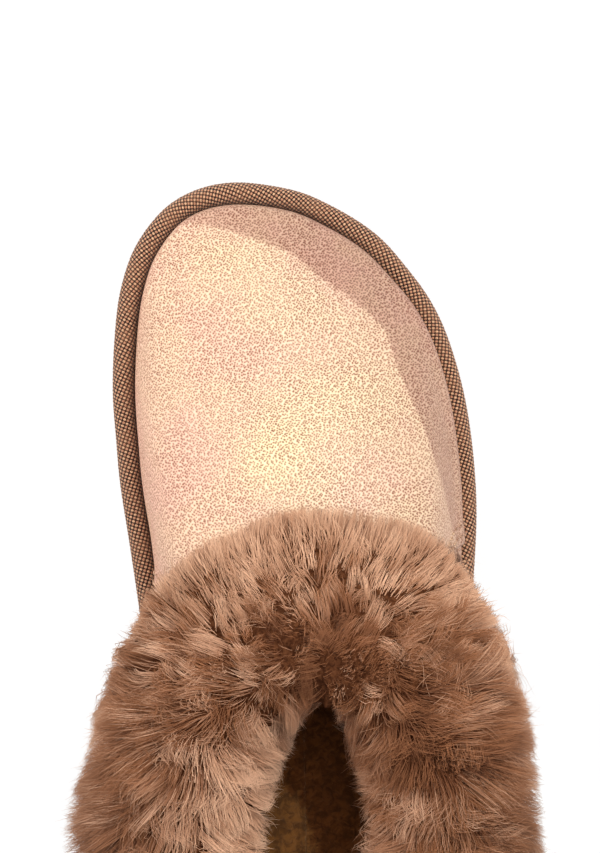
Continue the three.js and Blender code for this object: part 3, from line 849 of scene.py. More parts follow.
def quarter_lift(u, v):
    """Overhang, the quarter's tuck under the vamp, and a fuller lateral wall."""
    s = side(u)
    tuck = 0.35 * (1 - smooth(CUT - 0.008, CUT + 0.012, s))
    lateral = (np.asarray(u) % 1 < 0.5) * (1 - smooth(0.25, 0.33, s))
    return overhang(u, v) - tuck + 1.0 * bell(v - 0.16, 0.12) * lateral


vamp_steps = ((290, 168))
vamp = leather_patch("vamp_leather", (-CUT, CUT), *vamp_steps, vamp_lift, inner=-1.5)
dress(vamp, leather, "vamp", bends=True)

LAP, HEEL_GAP = 0.010, 0.0012  # in u: quarter under vamp, quarter from the heel's middle
for label, span in (("lateral_quarter", (CUT - LAP, 0.5 - HEEL_GAP)),
                    ("medial_quarter", (0.5 + HEEL_GAP, 1 - CUT + LAP))):
    quarter = leather_patch(label + "_leather", span, 200, 70, quarter_lift, inner=-1.3)
    dress(quarter, leather, label)


def back_strip():
    """Strip over the heel seam, with turned edges."""
    half_width = 0.0115
    across = np.linspace(-1, 1, 26)
    u, v = np.meshgrid(0.5 + across * half_width, np.linspace(0.03, 0.6, 60), indexing="ij")
    p, n, _ = frames(u, v)
    swell = 0.85 + 0.35 * (1 - np.abs(across)[:, None] ** 6) + 0.12 * noise3(p, 6, 5)
    ob = thick_sheet("back_strip_leather", p + n * swell[..., None], p + n * 0.12,
                     points={"feather": np.zeros(u.size * 2)})
    dress(ob, leather, "back_strip")


back_strip()

# ------------------------------------------------------------------ stitching
thread = thread_material()
STITCH_TAPER = np.array([0.55, 0.9, 1, 1, 1, 0.9, 0.55])


def stitches(name, line, normal, pitch, length, radius, node=None, bends=False):
    """A row of separate lock stitches along a line of points with normals."""
    s = np.r_[0, np.cumsum(np.linalg.norm(np.diff(line, axis=0), axis=1))]
    mids = np.arange(pitch / 2, s[-1], pitch)
    x = np.linspace(-0.5, 0.5, len(STITCH_TAPER))
    at = mids[:, None] + x[None, :] * length

    def sample(table):
        return np.stack([np.interp(at, s, table[:, j]) for j in range(3)], -1)

    arch = np.cos(x * math.pi)[None, :, None] * radius * 1.25 - radius * 0.55
    path = sample(line) + unit(sample(normal)) * arch
    radii = radius * STITCH_TAPER[None, :] * np.ones((len(mids), 1))
    ob = fix_normals(mesh_object(name, *tube_mesh(path, radii, sides=6)))
    return dress(ob, thread, node, bends)


def seam_stitches(label, sign):
    """Two parallel rows along the vamp's edge, joined as one piece."""
    rows = []
    for i, inset in enumerate((0.0045, 0.0095)):
        v = np.linspace(0.05, 0.62, 120)
        u = np.full_like(v, sign * (CUT - inset))
        p, n, _ = frames(u, v)
        line = p + n * (upper_relief(p, v) + vamp_lift(u, v))[:, None]
        rows.append(stitches(f"{label}_seam_row{i}", line, n, pitch=2.9, length=2.2, radius=0.34))
    bpy.ops.object.select_all(action="DESELECT")
    for row in rows:
        row.parent = None
        row.select_set(True)
        row.matrix_world.identity()
    bpy.context.view_layer.objects.active = rows[0]
    bpy.ops.object.join()
    rows[0].name = f"{label}_seam_stitches"
    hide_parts(f"{label}_seam_thread")
    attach(rows[0], "slipper")


def feather_stitches():
    """Small stitches down in the groove between rand and upper."""
    u = np.linspace(0, 1, 1400)
    normal = np.concatenate([-around(rand_normal, u) * 0.5, np.full((len(u), 1), 0.86)], 1)
    stitches("feather_stitches", edge(u, 6.82, 22.5), unit(normal), pitch=3.4, length=2.5,
             radius=0.18, node="feather_thread", bends=True)


seam_stitches("lateral", 1)
seam_stitches("medial", -1)
feather_stitches()

# ------------------------------------------------------------------ layers kept from the CAD
# name, light, dark, pattern scale, roughness, bump strength, bump depth (m), cellular
PLAIN = [
    ("cell_foam", (232, 226, 212), (206, 198, 182), 2400, 0.9, 0.5, 0.0002, True),
    ("platform_foam", (222, 214, 198), (196, 186, 168), 1900, 0.86, 0.5, 0.0002, True),
    ("tread_rubber", (104, 74, 56), (84, 58, 44), 1500, 0.7, 0.35, 0.0002),
    ("fibreboard", (168, 132, 94), (138, 104, 72), 900, 0.9, 0.3, 0.0002),
    ("stiffener_sheet", (216, 206, 186), (196, 184, 162), 700, 0.6, 0.2, 0.0001),
    ("filler_cord", (214, 198, 174), (180, 160, 132), 1300, 0.9, 0.5, 0.0003),
    ("suede_backing", (196, 156, 122), (168, 128, 96), 1100, 0.95, 0.35, 0.0003),
    ("binding_tape", (138, 100, 74), (110, 76, 54), 1600, 0.85, 0.4, 0.0002),
]
plain = {row[0]: plain_material(*row) for row in PLAIN}


def bendable(node, mat):
    """A CAD layer as its own mesh, cut finely across the flex zone."""
    src = frame["nodes"][node]
    bm = bmesh.new()
    bm.from_mesh(src.data)
    bm.transform(src.matrix_world)
    bmesh.ops.remove_doubles(bm, verts=bm.verts, dist=1e-6)
    for y in np.arange(BLEND_START_Y - 3, BLEND_END_Y + 4, 3.0):
        geom = bm.verts[:] + bm.edges[:] + bm.faces[:]
        bmesh.ops.bisect_plane(bm, geom=geom, dist=1e-6, plane_co=(0, (y + SHIFT[1]) / 1000, 0),
                               plane_no=(0, 1, 0))
    bmesh.ops.triangulate(bm, faces=[f for f in bm.faces if len(f.verts) > 4])
    me = bpy.data.meshes.new(node + "_soft")
    bm.to_mesh(me)
    bm.free()
    dress(link_mesh(node + "_soft", me), mat, node, bends=True)


for node, finish, slot in (
    ("bottom_cover", "tread_rubber", "rubber"),
    ("platform_midsole", "platform_foam", "platform"),
    ("welt_cord", "filler_cord", "cord"),
    ("insole_board", "fibreboard", "board"),
    ("forefoot_foam", "cell_foam", "foam"),
    ("toe_tread", "tread_rubber", "rubber"),
    ("ball_tread", "tread_rubber", "rubber"),
    ("toe_puff", "stiffener_sheet", "stiffener"),
):
    bendable(node, plain[finish])

# pieces behind the flex zone keep their CAD mesh
for node, finish in (("shank_board", "fibreboard"), ("heel_foam", "cell_foam"),
                     ("heel_counter", "stiffener_sheet"), ("heel_tread", "tread_rubber"),
                     ("collar_binding", "binding_tape")):
    for material_slot in frame["nodes"][node].material_slots:
        material_slot.link = "OBJECT"
        material_slot.material = plain[finish].material

# ------------------------------------------------------------------ linings and footbed
lining_mat = fleece_material("lining_pile", light=(132, 82, 48), dark=(84, 46, 22), scale=520)
bed_mat = fleece_material("footbed_pile", light=(112, 64, 28), dark=(70, 36, 12), scale=460)


def lining(name, u_span, nu, nv, node, bends):
    u, v = np.meshgrid(np.linspace(*u_span, nu), np.linspace(0, 0.985, nv), indexing="ij")
    p, n, _ = frames(u, v)
    pile = noise3(p, 4.2, 31, 3) * 0.7 + noise3(p, 14, 32, 1) * 0.5
    ob = thick_sheet(name, p - n * LINING_OUT, p - n * (LINING_IN + pile)[..., None])
    dress(ob, lining_mat, node, bends)


lining("vamp_lining_pile", (-CUT, CUT), 170, 90, "vamp_lining", bends=True)
lining("quarter_lining_pile", (CUT + 0.001, 1 - CUT - 0.001), 220, 70, "quarter_lining",
       bends=False)


def hollow(u, inset, z):
    """Outline of the hollow inside the linings at a height, found by halving v."""
    lo, hi = np.zeros_like(u), np.full_like(u, 0.7)
    for _ in range(22):
        mid = (lo + hi) / 2
        below = shell(u, mid, -LINING_IN)[:, 2] < z
        lo, hi = np.where(below, mid, lo), np.where(below, hi, mid)
    p = shell(u, lo, -LINING_IN)
    return np.concatenate([p[:, :2] + around(rand_normal, u) * inset, np.full((len(u), 1), z)], 1)


# Middle line of the footbed: y, x
SPINE_Y, SPINE_X = [-134, -60, 20, 60, 134], [3.5, 3.2, 2, -2, -14]
BED_BASE_Z, BED_EDGE_Z, BED_THICK = 31.05, 31.2, 4.6


def footbed():
    nu, nr = 220, 46
    rim = hollow(np.arange(nu) / nu, 1.0, 33.5)
    spine_y = np.clip(rim[:, 1], -92, 86)
    spine = np.stack([np.interp(spine_y, SPINE_Y, SPINE_X), spine_y, rim[:, 2]], 1)
    base = rim.copy()
    base[:, 2] = BED_BASE_Z
    rows = [base]
    for t in np.arange(nr) / (nr - 1):  # from the rim in to the spine
        p = rim * (1 - t) + spine * t
        edge_round = np.sqrt(max(0.0, 1 - (1 - min(1.0, t * 6)) ** 2))
        heel_cup = 1.6 * (1 - smooth(0, 0.55, t)) * smooth(-20, -110, p[:, 1])
        arch = 1.2 * (1 - smooth(0.1, 0.8, t)) * bell(p[:, 1] + 25, 40) * (p[:, 0] < 0)
        p[:, 2] = BED_EDGE_Z + BED_THICK * edge_round + heel_cup + arch
        pile = noise3(p, 3.4, 41, 3) * 0.8 + noise3(p, 18, 42) * 0.8
        p[:, 2] += pile * min(1, t * 8)
        rows.append(p)
    ob = mesh_object("footbed_pile", np.vstack(rows), grid_quads(nr + 1, nu, wrap_m=True))
    # close the crown along the spine, and the base
    fix_normals(ob, weld=2e-5, fill=True)
    dress(ob, bed_mat, "footbed_fleece", bends=True)


footbed()

# ------------------------------------------------------------------ cuff: backing
CUFF_U, CUFF_T = 480, 97  # steps round the collar and across the cuff
T_STEPS = np.linspace(0, 1, CUFF_T)


def cuff_section_grid():
    """The cuff's backing: u round the collar, t from the outer hem over the roll to the inner."""
    u = np.arange(CUFF_U) / CUFF_U
    hem = hem_v(u)
    deep = smooth(0.1, 0.3, side(u))
    bulge = lerp(6.5, 10, deep)
    p, n, up = frames(u, np.ones_like(u))

    def beyond(out, above):
        return p + n * np.asarray(out, float)[..., None] + up * above

    ctrl = np.stack([
        shell(u, hem, 1.7), shell(u, lerp(hem, 1, 0.28), bulge),
        shell(u, lerp(hem, 1, 0.7), bulge + 2), beyond(bulge + 0.5, 3),
        beyond(3, 9), beyond(-5, 8.5), beyond(-10.8, 2.5),
        shell(u, 1 - lerp(0.09, 0.2, deep), -9.8), shell(u, 1 - lerp(0.18, 0.4, deep), -8.0),
    ], 1)
    ctrl = ease_ring(ctrl, 0.013)  # so that the roll has no kinks
    # Catmull-Rom through the nine control rows, with an extrapolated row at each end
    ctrl = np.concatenate([2 * ctrl[:, :1] - ctrl[:, 1:2], ctrl, 2 * ctrl[:, -1:] - ctrl[:, -2:-1]], 1)
    last = ctrl.shape[1] - 3
    t = np.linspace(0, last, CUFF_T)
    i = np.clip(np.floor(t).astype(int), 0, last - 1)
    w = (t - i)[None, :, None]
    p0, p1, p2, p3 = (ctrl[:, i + k] for k in range(4))
    return 0.5 * (2 * p1 + (p2 - p0) * w + (2 * p0 - 5 * p1 + 4 * p2 - p3) * w**2
                  + (3 * p1 - p0 - 3 * p2 + p3) * w**3)


# Outline of the pile as seen: x, y in mm
PILE_OUTLINE = np.array([
    (-45.0, 11.0), (-40.5, 15.5), (-34.2, 20.9), (-27.3, 26.3), (-16.8, 31.1), (-3.6, 35.3),
    (9.0, 36.8), (20.4, 36.5), (30.0, 34.1), (39.6, 30.2), (47.1, 23.3), (52.8, 15.8),
    (56.7, 8.6), (61.5, 2.0), (64.2, -5.8), (65.7, -13.0), (69.3, -20.2), (71.4, -27.4),
    (72.6, -34.6), (73.5, -41.8), (74.4, -49.0), (75.0, -56.2), (75.3, -63.4), (75.9, -75.4),
    (75.9, -88.9), (74.4, -103.9), (69.9, -121.9), (61.5, -139.0), (48.0, -152.8),
    (30.0, -160.3), (9.0, -163.0), (-12.0, -160.6), (-30.0, -154.0), (-45.9, -142.0),
    (-57.6, -126.4), (-65.1, -108.4), (-68.7, -90.4), (-70.2, -75.4), (-69.9, -60.4),
    (-68.7, -52.9), (-66.6, -46.9), (-64.5, -40.9), (-61.8, -34.9), (-60.0, -27.4),
    (-57.6, -20.5), (-55.5, -13.0), (-52.5, -5.8), (-48.0, 1.4), (-46.5, 7.4),
])
PILE_CENTRE = np.array([4.5, -51.4])
# Outline of the open mouth as seen: x, y in mm
MOUTH_OUTLINE = np.array([
    (8.7, -14.8), (12.6, -26.8), (16.8, -39.4), (19.5, -51.4), (20.7, -67.3), (21.3, -82.9),
    (18.9, -94.9), (13.5, -101.8), (6.9, -103.9), (0.0, -100.9), (-5.1, -93.4), (-7.5, -81.4),
    (-8.7, -67.3), (-6.6, -52.9), (-2.4, -40.9), (3.0, -28.0),
])
MOUTH_CENTRE = np.array([6.9, -66.4])


def gap_beyond(outline, centre):
    """A function of points: how far each is seen beyond an outline, along the ray from centre."""
    spokes = outline - centre
    angle = np.arctan2(spokes[:, 1], spokes[:, 0])
    order = np.argsort(angle)
    angle, radius = angle[order], np.hypot(spokes[:, 0], spokes[:, 1])[order]
    angle = np.r_[angle[-1] - TAU, angle, angle[0] + TAU]
    radius = np.r_[radius[-1], radius, radius[0]]

    def gap(p):
        q = seen(p) - centre
        return np.hypot(q[..., 0], q[..., 1]) - np.interp(np.arctan2(q[..., 1], q[..., 0]), angle, radius)

    return gap


beyond_pile = gap_beyond(PILE_OUTLINE, PILE_CENTRE)
beyond_mouth = gap_beyond(MOUTH_OUTLINE, MOUTH_CENTRE)
HEM_MARGIN = 4.5  # the backing begins this far inside the pile's outline


def trimmed_grid():
    grid = cuff_section_grid()
    bad = beyond_pile(grid) > -HEM_MARGIN
    start = np.array([
        T_STEPS[np.nonzero(row[: CUFF_T // 2])[0].max() + 1] if row[: CUFF_T // 2].any() else 0.0
        for row in bad])
    wide = np.max([np.roll(start, k) for k in range(-7, 8)], 0)
    start = np.clip(ease_ring(wide, 0.012), 0, 0.45)
    out = np.empty_like(grid)
    for i in range(CUFF_U):
        at = start[i] + (1 - start[i]) * T_STEPS
        for c in range(3):
            out[i, :, c] = np.interp(at, T_STEPS, grid[i, :, c])
    return out


cuff_grid = trimmed_grid()
cuff_across = unit(np.gradient(cuff_grid, axis=1))
cuff_along = unit(np.roll(cuff_grid, -1, 0) - np.roll(cuff_grid, 1, 0))
cuff_normal = unit(np.cross(cuff_across, cuff_along))


def cuff_at(u, t, table):
    """Looks up a table over the cuff at u, t."""
    x, y = (u % 1) * CUFF_U, np.clip(t, 0, 1) * (CUFF_T - 1)
    i = np.floor(x).astype(int) % CUFF_U
    j = np.clip(np.floor(y).astype(int), 0, CUFF_T - 2)
    a, b = (x - np.floor(x))[:, None], (y - j)[:, None]
    i2 = (i + 1) % CUFF_U
    return (table[i, j] * (1 - a) * (1 - b) + table[i2, j] * a * (1 - b)
            + table[i, j + 1] * (1 - a) * b + table[i2, j + 1] * a * b)


HIDE_HALF = 0.6  # half the backing's thickness
backing = thick_sheet("cuff_backing", cuff_grid + cuff_normal * HIDE_HALF,
                      cuff_grid - cuff_normal * HIDE_HALF, ring=True)
dress(backing, plain["suede_backing"], "cuff_hide")


def collar_pad():
    rows = slice(6, 44)
    grid, n = cuff_grid[:, rows], cuff_normal[:, rows]
    thick = 2.6 * np.sin(np.linspace(0.15, math.pi - 0.15, grid.shape[1]))[None, :]
    ob = thick_sheet("collar_pad", grid - n * 0.75, grid - n * (0.95 + thick)[..., None], ring=True)
    dress(ob, plain["cell_foam"], "collar_padding")


def underfur():
    """A closed, lumpy ring that the long hairs stand out of."""
    height = np.interp(T_STEPS, [0, 0.06, 0.2, 0.5, 0.7, 0.9, 1],
                       [0.9, 3.2, 7.5, 7.5, 5, 3.2, 1.2])
    height = height * (1 + 0.32 * noise3(cuff_grid, 9, 51, 3) + 0.25 * noise3(cuff_grid, 3.0, 52))
    return thick_sheet("cuff_underfur", cuff_grid + cuff_normal * height[..., None],
                       cuff_grid + cuff_normal * 0.8, ring=True)


collar_pad()
# the underfur's dark browns are painted shade among the hair roots
underfur_shade_mat = fleece_material("underfur", light=(104, 64, 40), dark=(60, 32, 17), scale=700, sheen=0.0)
dress(underfur(), underfur_shade_mat, "cuff_fleece")

# ------------------------------------------------------------------ cuff: hairs
# Fine hairs in tufts, combed away from a parting along the crest.
K = np.array([0.0, 0.27, 0.54, 0.79, 1.0])  # stations along a hair, root to tip
N_STRANDS_BIG, N_STRANDS_SMALL = 2600, 10000  # leaders of big and small tufts
# Places where the pile parts in a star: x, y as seen, reach (mm), strength
WHORLS = (
    (24.3, 4.4, 7.2, 0.36), (-32.7, -13.0, 6.0, 0.5), (-1.5, -5.2, 5.4, 0.45),
    (44.4, -21.4, 6.0, 0.5), (-43.5, -34.0, 5.4, 0.4), (32.7, -6.4, 3.6, 0.4),
)


def front_share(u):
    return 1 - smooth(0.10, 0.24, side(u))


def parting(u):
    """t at which the pile parts: 0 is the outer hem, 1 the inner one."""
    base = lerp(lerp(0.34, 0.42, front_share(u)), 0.45, smooth(0.4, 0.5, side(u)))
    angle = (np.asarray(u) % 1) * TAU
    return (base + 0.045 * np.sin(angle * 5 + 0.6) + 0.035 * np.sin(angle * 9 + 2.1)
            + 0.02 * np.sin(angle * 17 + 4.0))


def pile_length(u, t):
    front = np.interp(t, [0, 0.08, 0.25, 0.5, 0.7, 1.0], [12, 14, 15, 15.5, 14.5, 11])
    sides = np.interp(t, [0, 0.1, 0.3, 0.5, 0.7, 1.0], [18, 26, 25, 18.5, 15, 10])
    return lerp(front, sides, smooth(0.12, 0.26, side(u)))


def root_weights():
    """Running sum over the cuff's cells: area, thickest along the parting."""
    area_ = np.linalg.norm(np.cross(np.roll(cuff_grid, -1, 0)[:, :-1] - cuff_grid[:, :-1],
                                    np.diff(cuff_grid, axis=1)), axis=-1)
    u, t = np.meshgrid(np.arange(CUFF_U) / CUFF_U, (np.arange(CUFF_T - 1) + 0.5) / (CUFF_T - 1),
                       indexing="ij")
    return np.cumsum((area_ * (1 + 2.2 * bell(t - parting(u), 0.12))).ravel())


rng = np.random.default_rng(20240611)
root_sum = root_weights()


def scatter(count):
    """Random roots: u, t."""
    cell = np.searchsorted(root_sum, rng.random(count) * root_sum[-1])
    i, j = cell // (CUFF_T - 1), cell % (CUFF_T - 1)
    return (i + rng.random(count)) / CUFF_U, (j + rng.random(count)) / (CUFF_T - 1)


def whorled(lean, root, n):
    """Turns the lean outward from the middle of each whorl."""
    at = seen(root)
    for x, y, reach, strength in WHORLS:
        spoke = at - np.array([x, y])
        far = np.hypot(spoke[:, 0], spoke[:, 1])
        share = (strength * bell(far, reach))[:, None]
        way = spoke / np.maximum(far, 0.15)[:, None]
        way = np.concatenate([way, np.zeros((len(root), 1))], 1)
        way -= n * np.sum(way * n, 1, keepdims=True)
        lean = lean * (1 - share) + way * share
    return unit(lean)


def strand_set(u, t, wild, scale=1.0):
    """Unclumped strand paths (n, 5, 3) for roots at u, t, and the normals there."""
    count = len(u)
    root = cuff_at(u, t, cuff_grid)
    n, across, along = (unit(cuff_at(u, t, table))
                        for table in (cuff_normal, cuff_across, cuff_along))
    away = np.tanh((t - parting(u)) / 0.15)
    s = side(u)
    flank = smooth(0.14, 0.3, s)
    drift = 0.60 * noise3(root, 24, 61) + 0.40 * noise3(root, 8, 62, 1)
    to_heel = (np.where(np.asarray(u) % 1 < 0.5, 1.0, -1.0) * smooth(0.12, 0.3, s)
               * (1 - smooth(0.42, 0.5, s)) * 0.55)
    crest = bell(t - parting(u), 0.12)
    jitter = rng.normal(size=(count, 3)) * (wild * (1 + 1.2 * crest))[:, None]
    lean = whorled(across * away[:, None] + along * (drift + to_heel)[:, None], root, n)
    lift = (lerp(0.62, 0.98, flank) * (1 - 0.3 * smooth(-0.1, 0.4, away))
            + 0.6 * (1 - np.abs(away))
            + 0.75 * smooth(lerp(0.12, 0.2, flank), lerp(0.3, 0.42, flank), t)
            * (1 - smooth(0.7, 0.95, t)))
    # at the outer hem the pile is laid flat, so that it closes down on to the upper
    laid = (1 - smooth(0.01, 0.12, t))[:, None]
    laid_lift = lerp(-0.1, 0.3, front_share(u))[:, None]
    sag = np.array([0, 0, -0.12])
    heading = unit(n * lerp(lift[:, None], laid_lift, laid) + lean + jitter * (1 - 0.75 * laid) + sag)
    rise = unit(n * (1 - 0.6 * laid) + lean * (0.30 + 0.7 * laid) + jitter * 0.5 * (1 - laid))
    length = pile_length(u, t) * scale * (0.80 + 0.30 * rng.random(count))
    length = length * (1 + 0.16 * noise3(root, 13, 71))
    # a hair sets out along rise and turns towards heading
    path = root[:, None] + length[:, None, None] * (
        rise[:, None] * (K * (1 - 0.60 * K))[None, :, None]
        + heading[:, None] * (0.70 * K**1.6)[None, :, None])
    path[..., 2] -= (K**2.2)[None] * length[:, None] * 0.12
    return path, n


def grouped(path, leaders, tree, pull, power):
    """Draws strands towards the nearest leader, more so to the tip."""
    nearest = np.array([tree.find(p)[1] for p in path[:, 0]])
    share = pull.reshape(-1, 1) * K[None] ** power
    return path + (leaders[nearest] - path) * share[..., None], nearest


def tree_of(points):
    tree = KDTree(len(points))
    for i, p in enumerate(points):
        tree.insert(p, i)
    tree.balance()
    return tree


big, _ = strand_set(*scatter(N_STRANDS_BIG), wild=0.58, scale=1.02)
big_tree = tree_of(big[:, 0])
big_tone = np.clip(0.56 + 0.26 * noise3(big[:, 0], 12, 81) + 0.15 * rng.normal(size=len(big)), 0, 1)
small, _ = strand_set(*scatter(N_STRANDS_SMALL), wild=0.22)
small, big_of = grouped(small, big, big_tree, 0.66 + 0.30 * rng.random(len(small)), 1.2)
small_tree = tree_of(small[:, 0])
small_tone = np.clip(big_tone[big_of] + 0.10 * rng.normal(size=len(small)), 0, 1)


def clip_paths(path, hang, slack_out, slack_in):
    """Keeps hairs to the pile's outline and clear of the mouth.

    There they hang down (hang 1) or are shorter (hang 0).
    """
    root = path[:, :1]
    flat = np.hypot(path[:, -1, 0] - root[:, 0, 0], path[:, -1, 1] - root[:, 0, 1])

    def at(share):
        g = share[:, None]
        out = root + (path - root) * g[..., None]
        drop = lerp(g, 1.0, 0.85 * hang[:, None])
        out[..., 2] = (root[..., 2] + (path[..., 2] - root[..., 2]) * drop
                       - (1 - g) * flat[:, None] * hang[:, None] * 0.35 * K[None] ** 1.5)
        return out

    def bad(q):
        return ((beyond_pile(q[:, -1]) > slack_out) | (beyond_pile(q[:, 2]) > slack_out)
                | (-beyond_mouth(q[:, -1]) > slack_in) | (-beyond_mouth(q[:, 3]) > slack_in))

    lo, hi = np.maximum(0.05, 0.25 * (1 - hang)), np.ones(len(path))
    ok = ~bad(path)
    for _ in range(8):
        mid = (lo + hi) / 2
        over = bad(at(mid))
        lo, hi = np.where(over, lo, mid), np.where(over, mid, hi)
    return at(np.where(ok, 1.0, lo))


# One hair: four rings of three points and a tip
HAIR_RADII = np.array([0.9, 1.0, 0.85, 0.6])
HAIR_VERTS = 13
HAIR_QUADS = np.array([
    [i * 3 + j, i * 3 + (j + 1) % 3, i * 3 + 3 + (j + 1) % 3, i * 3 + 3 + j]
    for i in range(3) for j in range(3)])
HAIR_TRIS = np.array([[9, 10, 12], [10, 11, 12], [11, 9, 12], [0, 2, 1]])


def hair_tone(u, t, path, base, rim, shift):
    s = side(u)
    medial = (np.asarray(u) % 1 > 0.5) * smooth(0.08, 0.2, s)
    # painted highlight: paler at the front rim, where the hair thins out at the silhouette, and on the
    # medial inner side of the roll; painted shade: darker along the parting
    thin_edge_highlight = smooth(-3.9, -0.3, beyond_pile(path[:, 3])) * smooth(0.08, 0.2, s)
    roll = medial * smooth(0.28, 0.46, t) * (1 - smooth(0.30, 0.38, s))
    tone = (base * (1 - 0.45 * rim) + shift + 0.04 * rng.normal(size=len(u))
            - 0.16 * bell(t - parting(u), 0.07) + 0.54 * rim + 0.20 * thin_edge_highlight
            + 0.12 * smooth(0.55, 0.8, t) + 0.40 * roll)
    return np.clip(tone, 0.0, 1.0)


def hairs(name, count, radius, wild=0.12, pull=0.88, scale=1.0, tone_shift=0.0):
    u, t = scatter(count)
    path, n = strand_set(u, t, wild, scale)
    s = side(u)
    rim = (1 - smooth(0.10, 0.38, t)) * (1 - smooth(0.12, 0.22, s))
    pull = (pull * (0.5 + 0.4 * rng.random(count)) * (1 - 0.6 * rim)
            * (1 - 0.3 * bell(t - parting(u), 0.09)))
    path, leader = grouped(path, small, small_tree, pull, 1.15)
    hang = np.maximum(smooth(0.45, 0.6, t), smooth(0.2, 0.27, s))
    # ragged limits: most hairs end near the outlines, a few pass them
    slack_out = rng.exponential(0.66, count) - 0.75 + 0.45 * noise3(path[:, 0], 8, 91, 1)
    slack_in = rng.exponential(1.2, count) - 0.6
    path = clip_paths(path, hang, slack_out, slack_in)
    # a slight crimp along each hair
    phase = rng.random(count) * TAU
    sway = unit(np.cross(path[:, -1] - path[:, 0], n))
    path += sway[:, None] * (np.sin(phase[:, None] + K[None] * 5.0) * K[None] * 0.30)[..., None]
    tone = hair_tone(u, t, path, small_tone[leader], rim, tone_shift)
    radii = radius * (0.75 + 0.5 * rng.random(count))[:, None] * HAIR_RADII[None]
    along = unit(np.gradient(path, axis=1))[:, :4]
    ring = rings(path[:, :4], along, radii, 3)
    verts = np.concatenate([ring.reshape(count, 12, 3), path[:, 4:5]], 1).reshape(-1, 3)
    base = (np.arange(count) * HAIR_VERTS)[:, None, None]
    share = np.tile(np.r_[np.repeat(K[:4], 3), 1.0], count)
    column = np.tile(np.r_[np.tile([0.0, 1.0, 2.0], 4), 1.0], count)
    tone = np.repeat(tone, HAIR_VERTS)
    uv = np.stack([0.02 + 0.96 * share, 0.01 + 0.97 * tone + column * 0.004], -1)
    ob = mesh_object(name, verts, (base + HAIR_QUADS).reshape(-1, 4),
                     (base + HAIR_TRIS).reshape(-1, 3), points={"along": share, "tone": tone},
                     uv={"OFBake": uv})
    # the pile is shaded as one soft surface, with only a little of each hair's own roundness
    own = unit(ring - path[:, :4, None, :]).reshape(count, 12, 3)
    own = np.concatenate([own, along[:, 3:4]], 1)
    grown = unit(n[:, None, :] + 0.35 * unit(path[:, -1] - path[:, 0])[:, None, :] + 0.28 * own)
    ob.data.normals_split_custom_set_from_vertices(grown.reshape(-1, 3).tolist())
    dress(ob, fur_mat)


fur_mat = fur_material()
PILE_SET, REST_SET = (bpy.data.collections.new(name) for name in ("pile_lit", "rest_lit"))
for i, letter in enumerate("abcdefghijkl"):
    hairs(f"fur_coat_{letter}", 9000, radius=0.115, scale=1.0 if i < 7 else 0.84)
hairs("fur_flyaway", 3200, radius=0.085, wild=0.45, pull=0.2, scale=1.05,
      tone_shift=0.15)


def hem_stitches():
    u = np.linspace(0, 1, 900)
    under = 1 - smooth(0.20, 0.32, side(u))  # in front the row lies back under the pile
    p, n, _ = frames(u, hem_v(u) - 0.02 + 0.05 * under)
    stitches("cuff_hem_stitches", p + n * (1.6 - 0.8 * under)[:, None], n, pitch=3.2, length=2.4,
             radius=0.3, node="cuff_seam_thread")


hem_stitches()


# ------------------------------------------------------------------ floor
def floor():
    half, z = 3000, -0.2
    corners = [[-half, -half, z], [half, -half, z], [half, half, z], [-half, half, z]]
    ob = mesh_object("floor", corners, [[0, 1, 2, 3]])
    m = Mat("floor_white")
    glow = m.add("ShaderNodeEmission", dict(Color=(1, 1, 1, 1), Strength=1.04))
    col = m.mix(m.noise(m.coords(), scale=2.0), (250, 250, 250), (255, 255, 255))
    m.shade(Base_Color=col, Roughness=0.9, Specular_IOR_Level=0.1)
    # mostly its own light, with a little received light and shadow
    mixed = m.add("ShaderNodeMixShader", {0: 0.90, 1: m.bsdf.outputs[0], 2: glow.outputs[0]})
    m.put(m.out.inputs["Surface"], mixed.outputs[0])
    ob.data.materials.append(m.material)
    ob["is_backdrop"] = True
    return ob


floor_ob = floor()

# ------------------------------------------------------------------ lights (m, W)
KEY_AZIMUTH, KEY_ELEVATION, KEY_DISTANCE = math.radians(58.0), math.radians(60.0), 4.0
KEY_TARGET = Vector((0, 0.06, 0.05))
KEY_POWER, KEY_COLOUR, PILE_COLOUR = 385.0, (0.86, 1.205, 1.16), (0.95, 0.955, 0.89)
KEY_SOFTNESS = 0.00010  # half-width of the lit area's edge, as a slope from the lamp
# Edge of the lit area over the upper as seen: x, y in mm
LIT_EDGE = np.array([
    (-70.5, 113.6), (-52.5, 114.8), (-39.6, 117.8), (-33.9, 120.5), (-25.5, 120.8),
    (-18.9, 119.0), (-9.3, 115.7), (-0.9, 112.4), (7.2, 105.5), (17.1, 98.9), (27.0, 89.9),
    (30.3, 79.1), (34.5, 69.2), (38.7, 59.6), (44.4, 42.2), (46.8, 31.1), (49.2, 17.6),
])


def add_light(name, kind, loc, target, power, colour, **props):
    data = bpy.data.lights.new(name, kind)
    data.energy, data.color = power, colour
    for key, value in props.items():
        setattr(data, key, value)
    ob = bpy.data.objects.new(name, data)
    ob.location = loc
    ob.rotation_mode = "QUATERNION"
    ob.rotation_quaternion = (Vector(target) - Vector(loc)).to_track_quat("-Z", "Y")
    bpy.context.scene.collection.objects.link(ob)
    return ob


def area(name, loc, target, size, power, colour=(1, 1, 1)):
    return add_light(name, "AREA", loc, target, power, colour, shape="DISK", size=size)


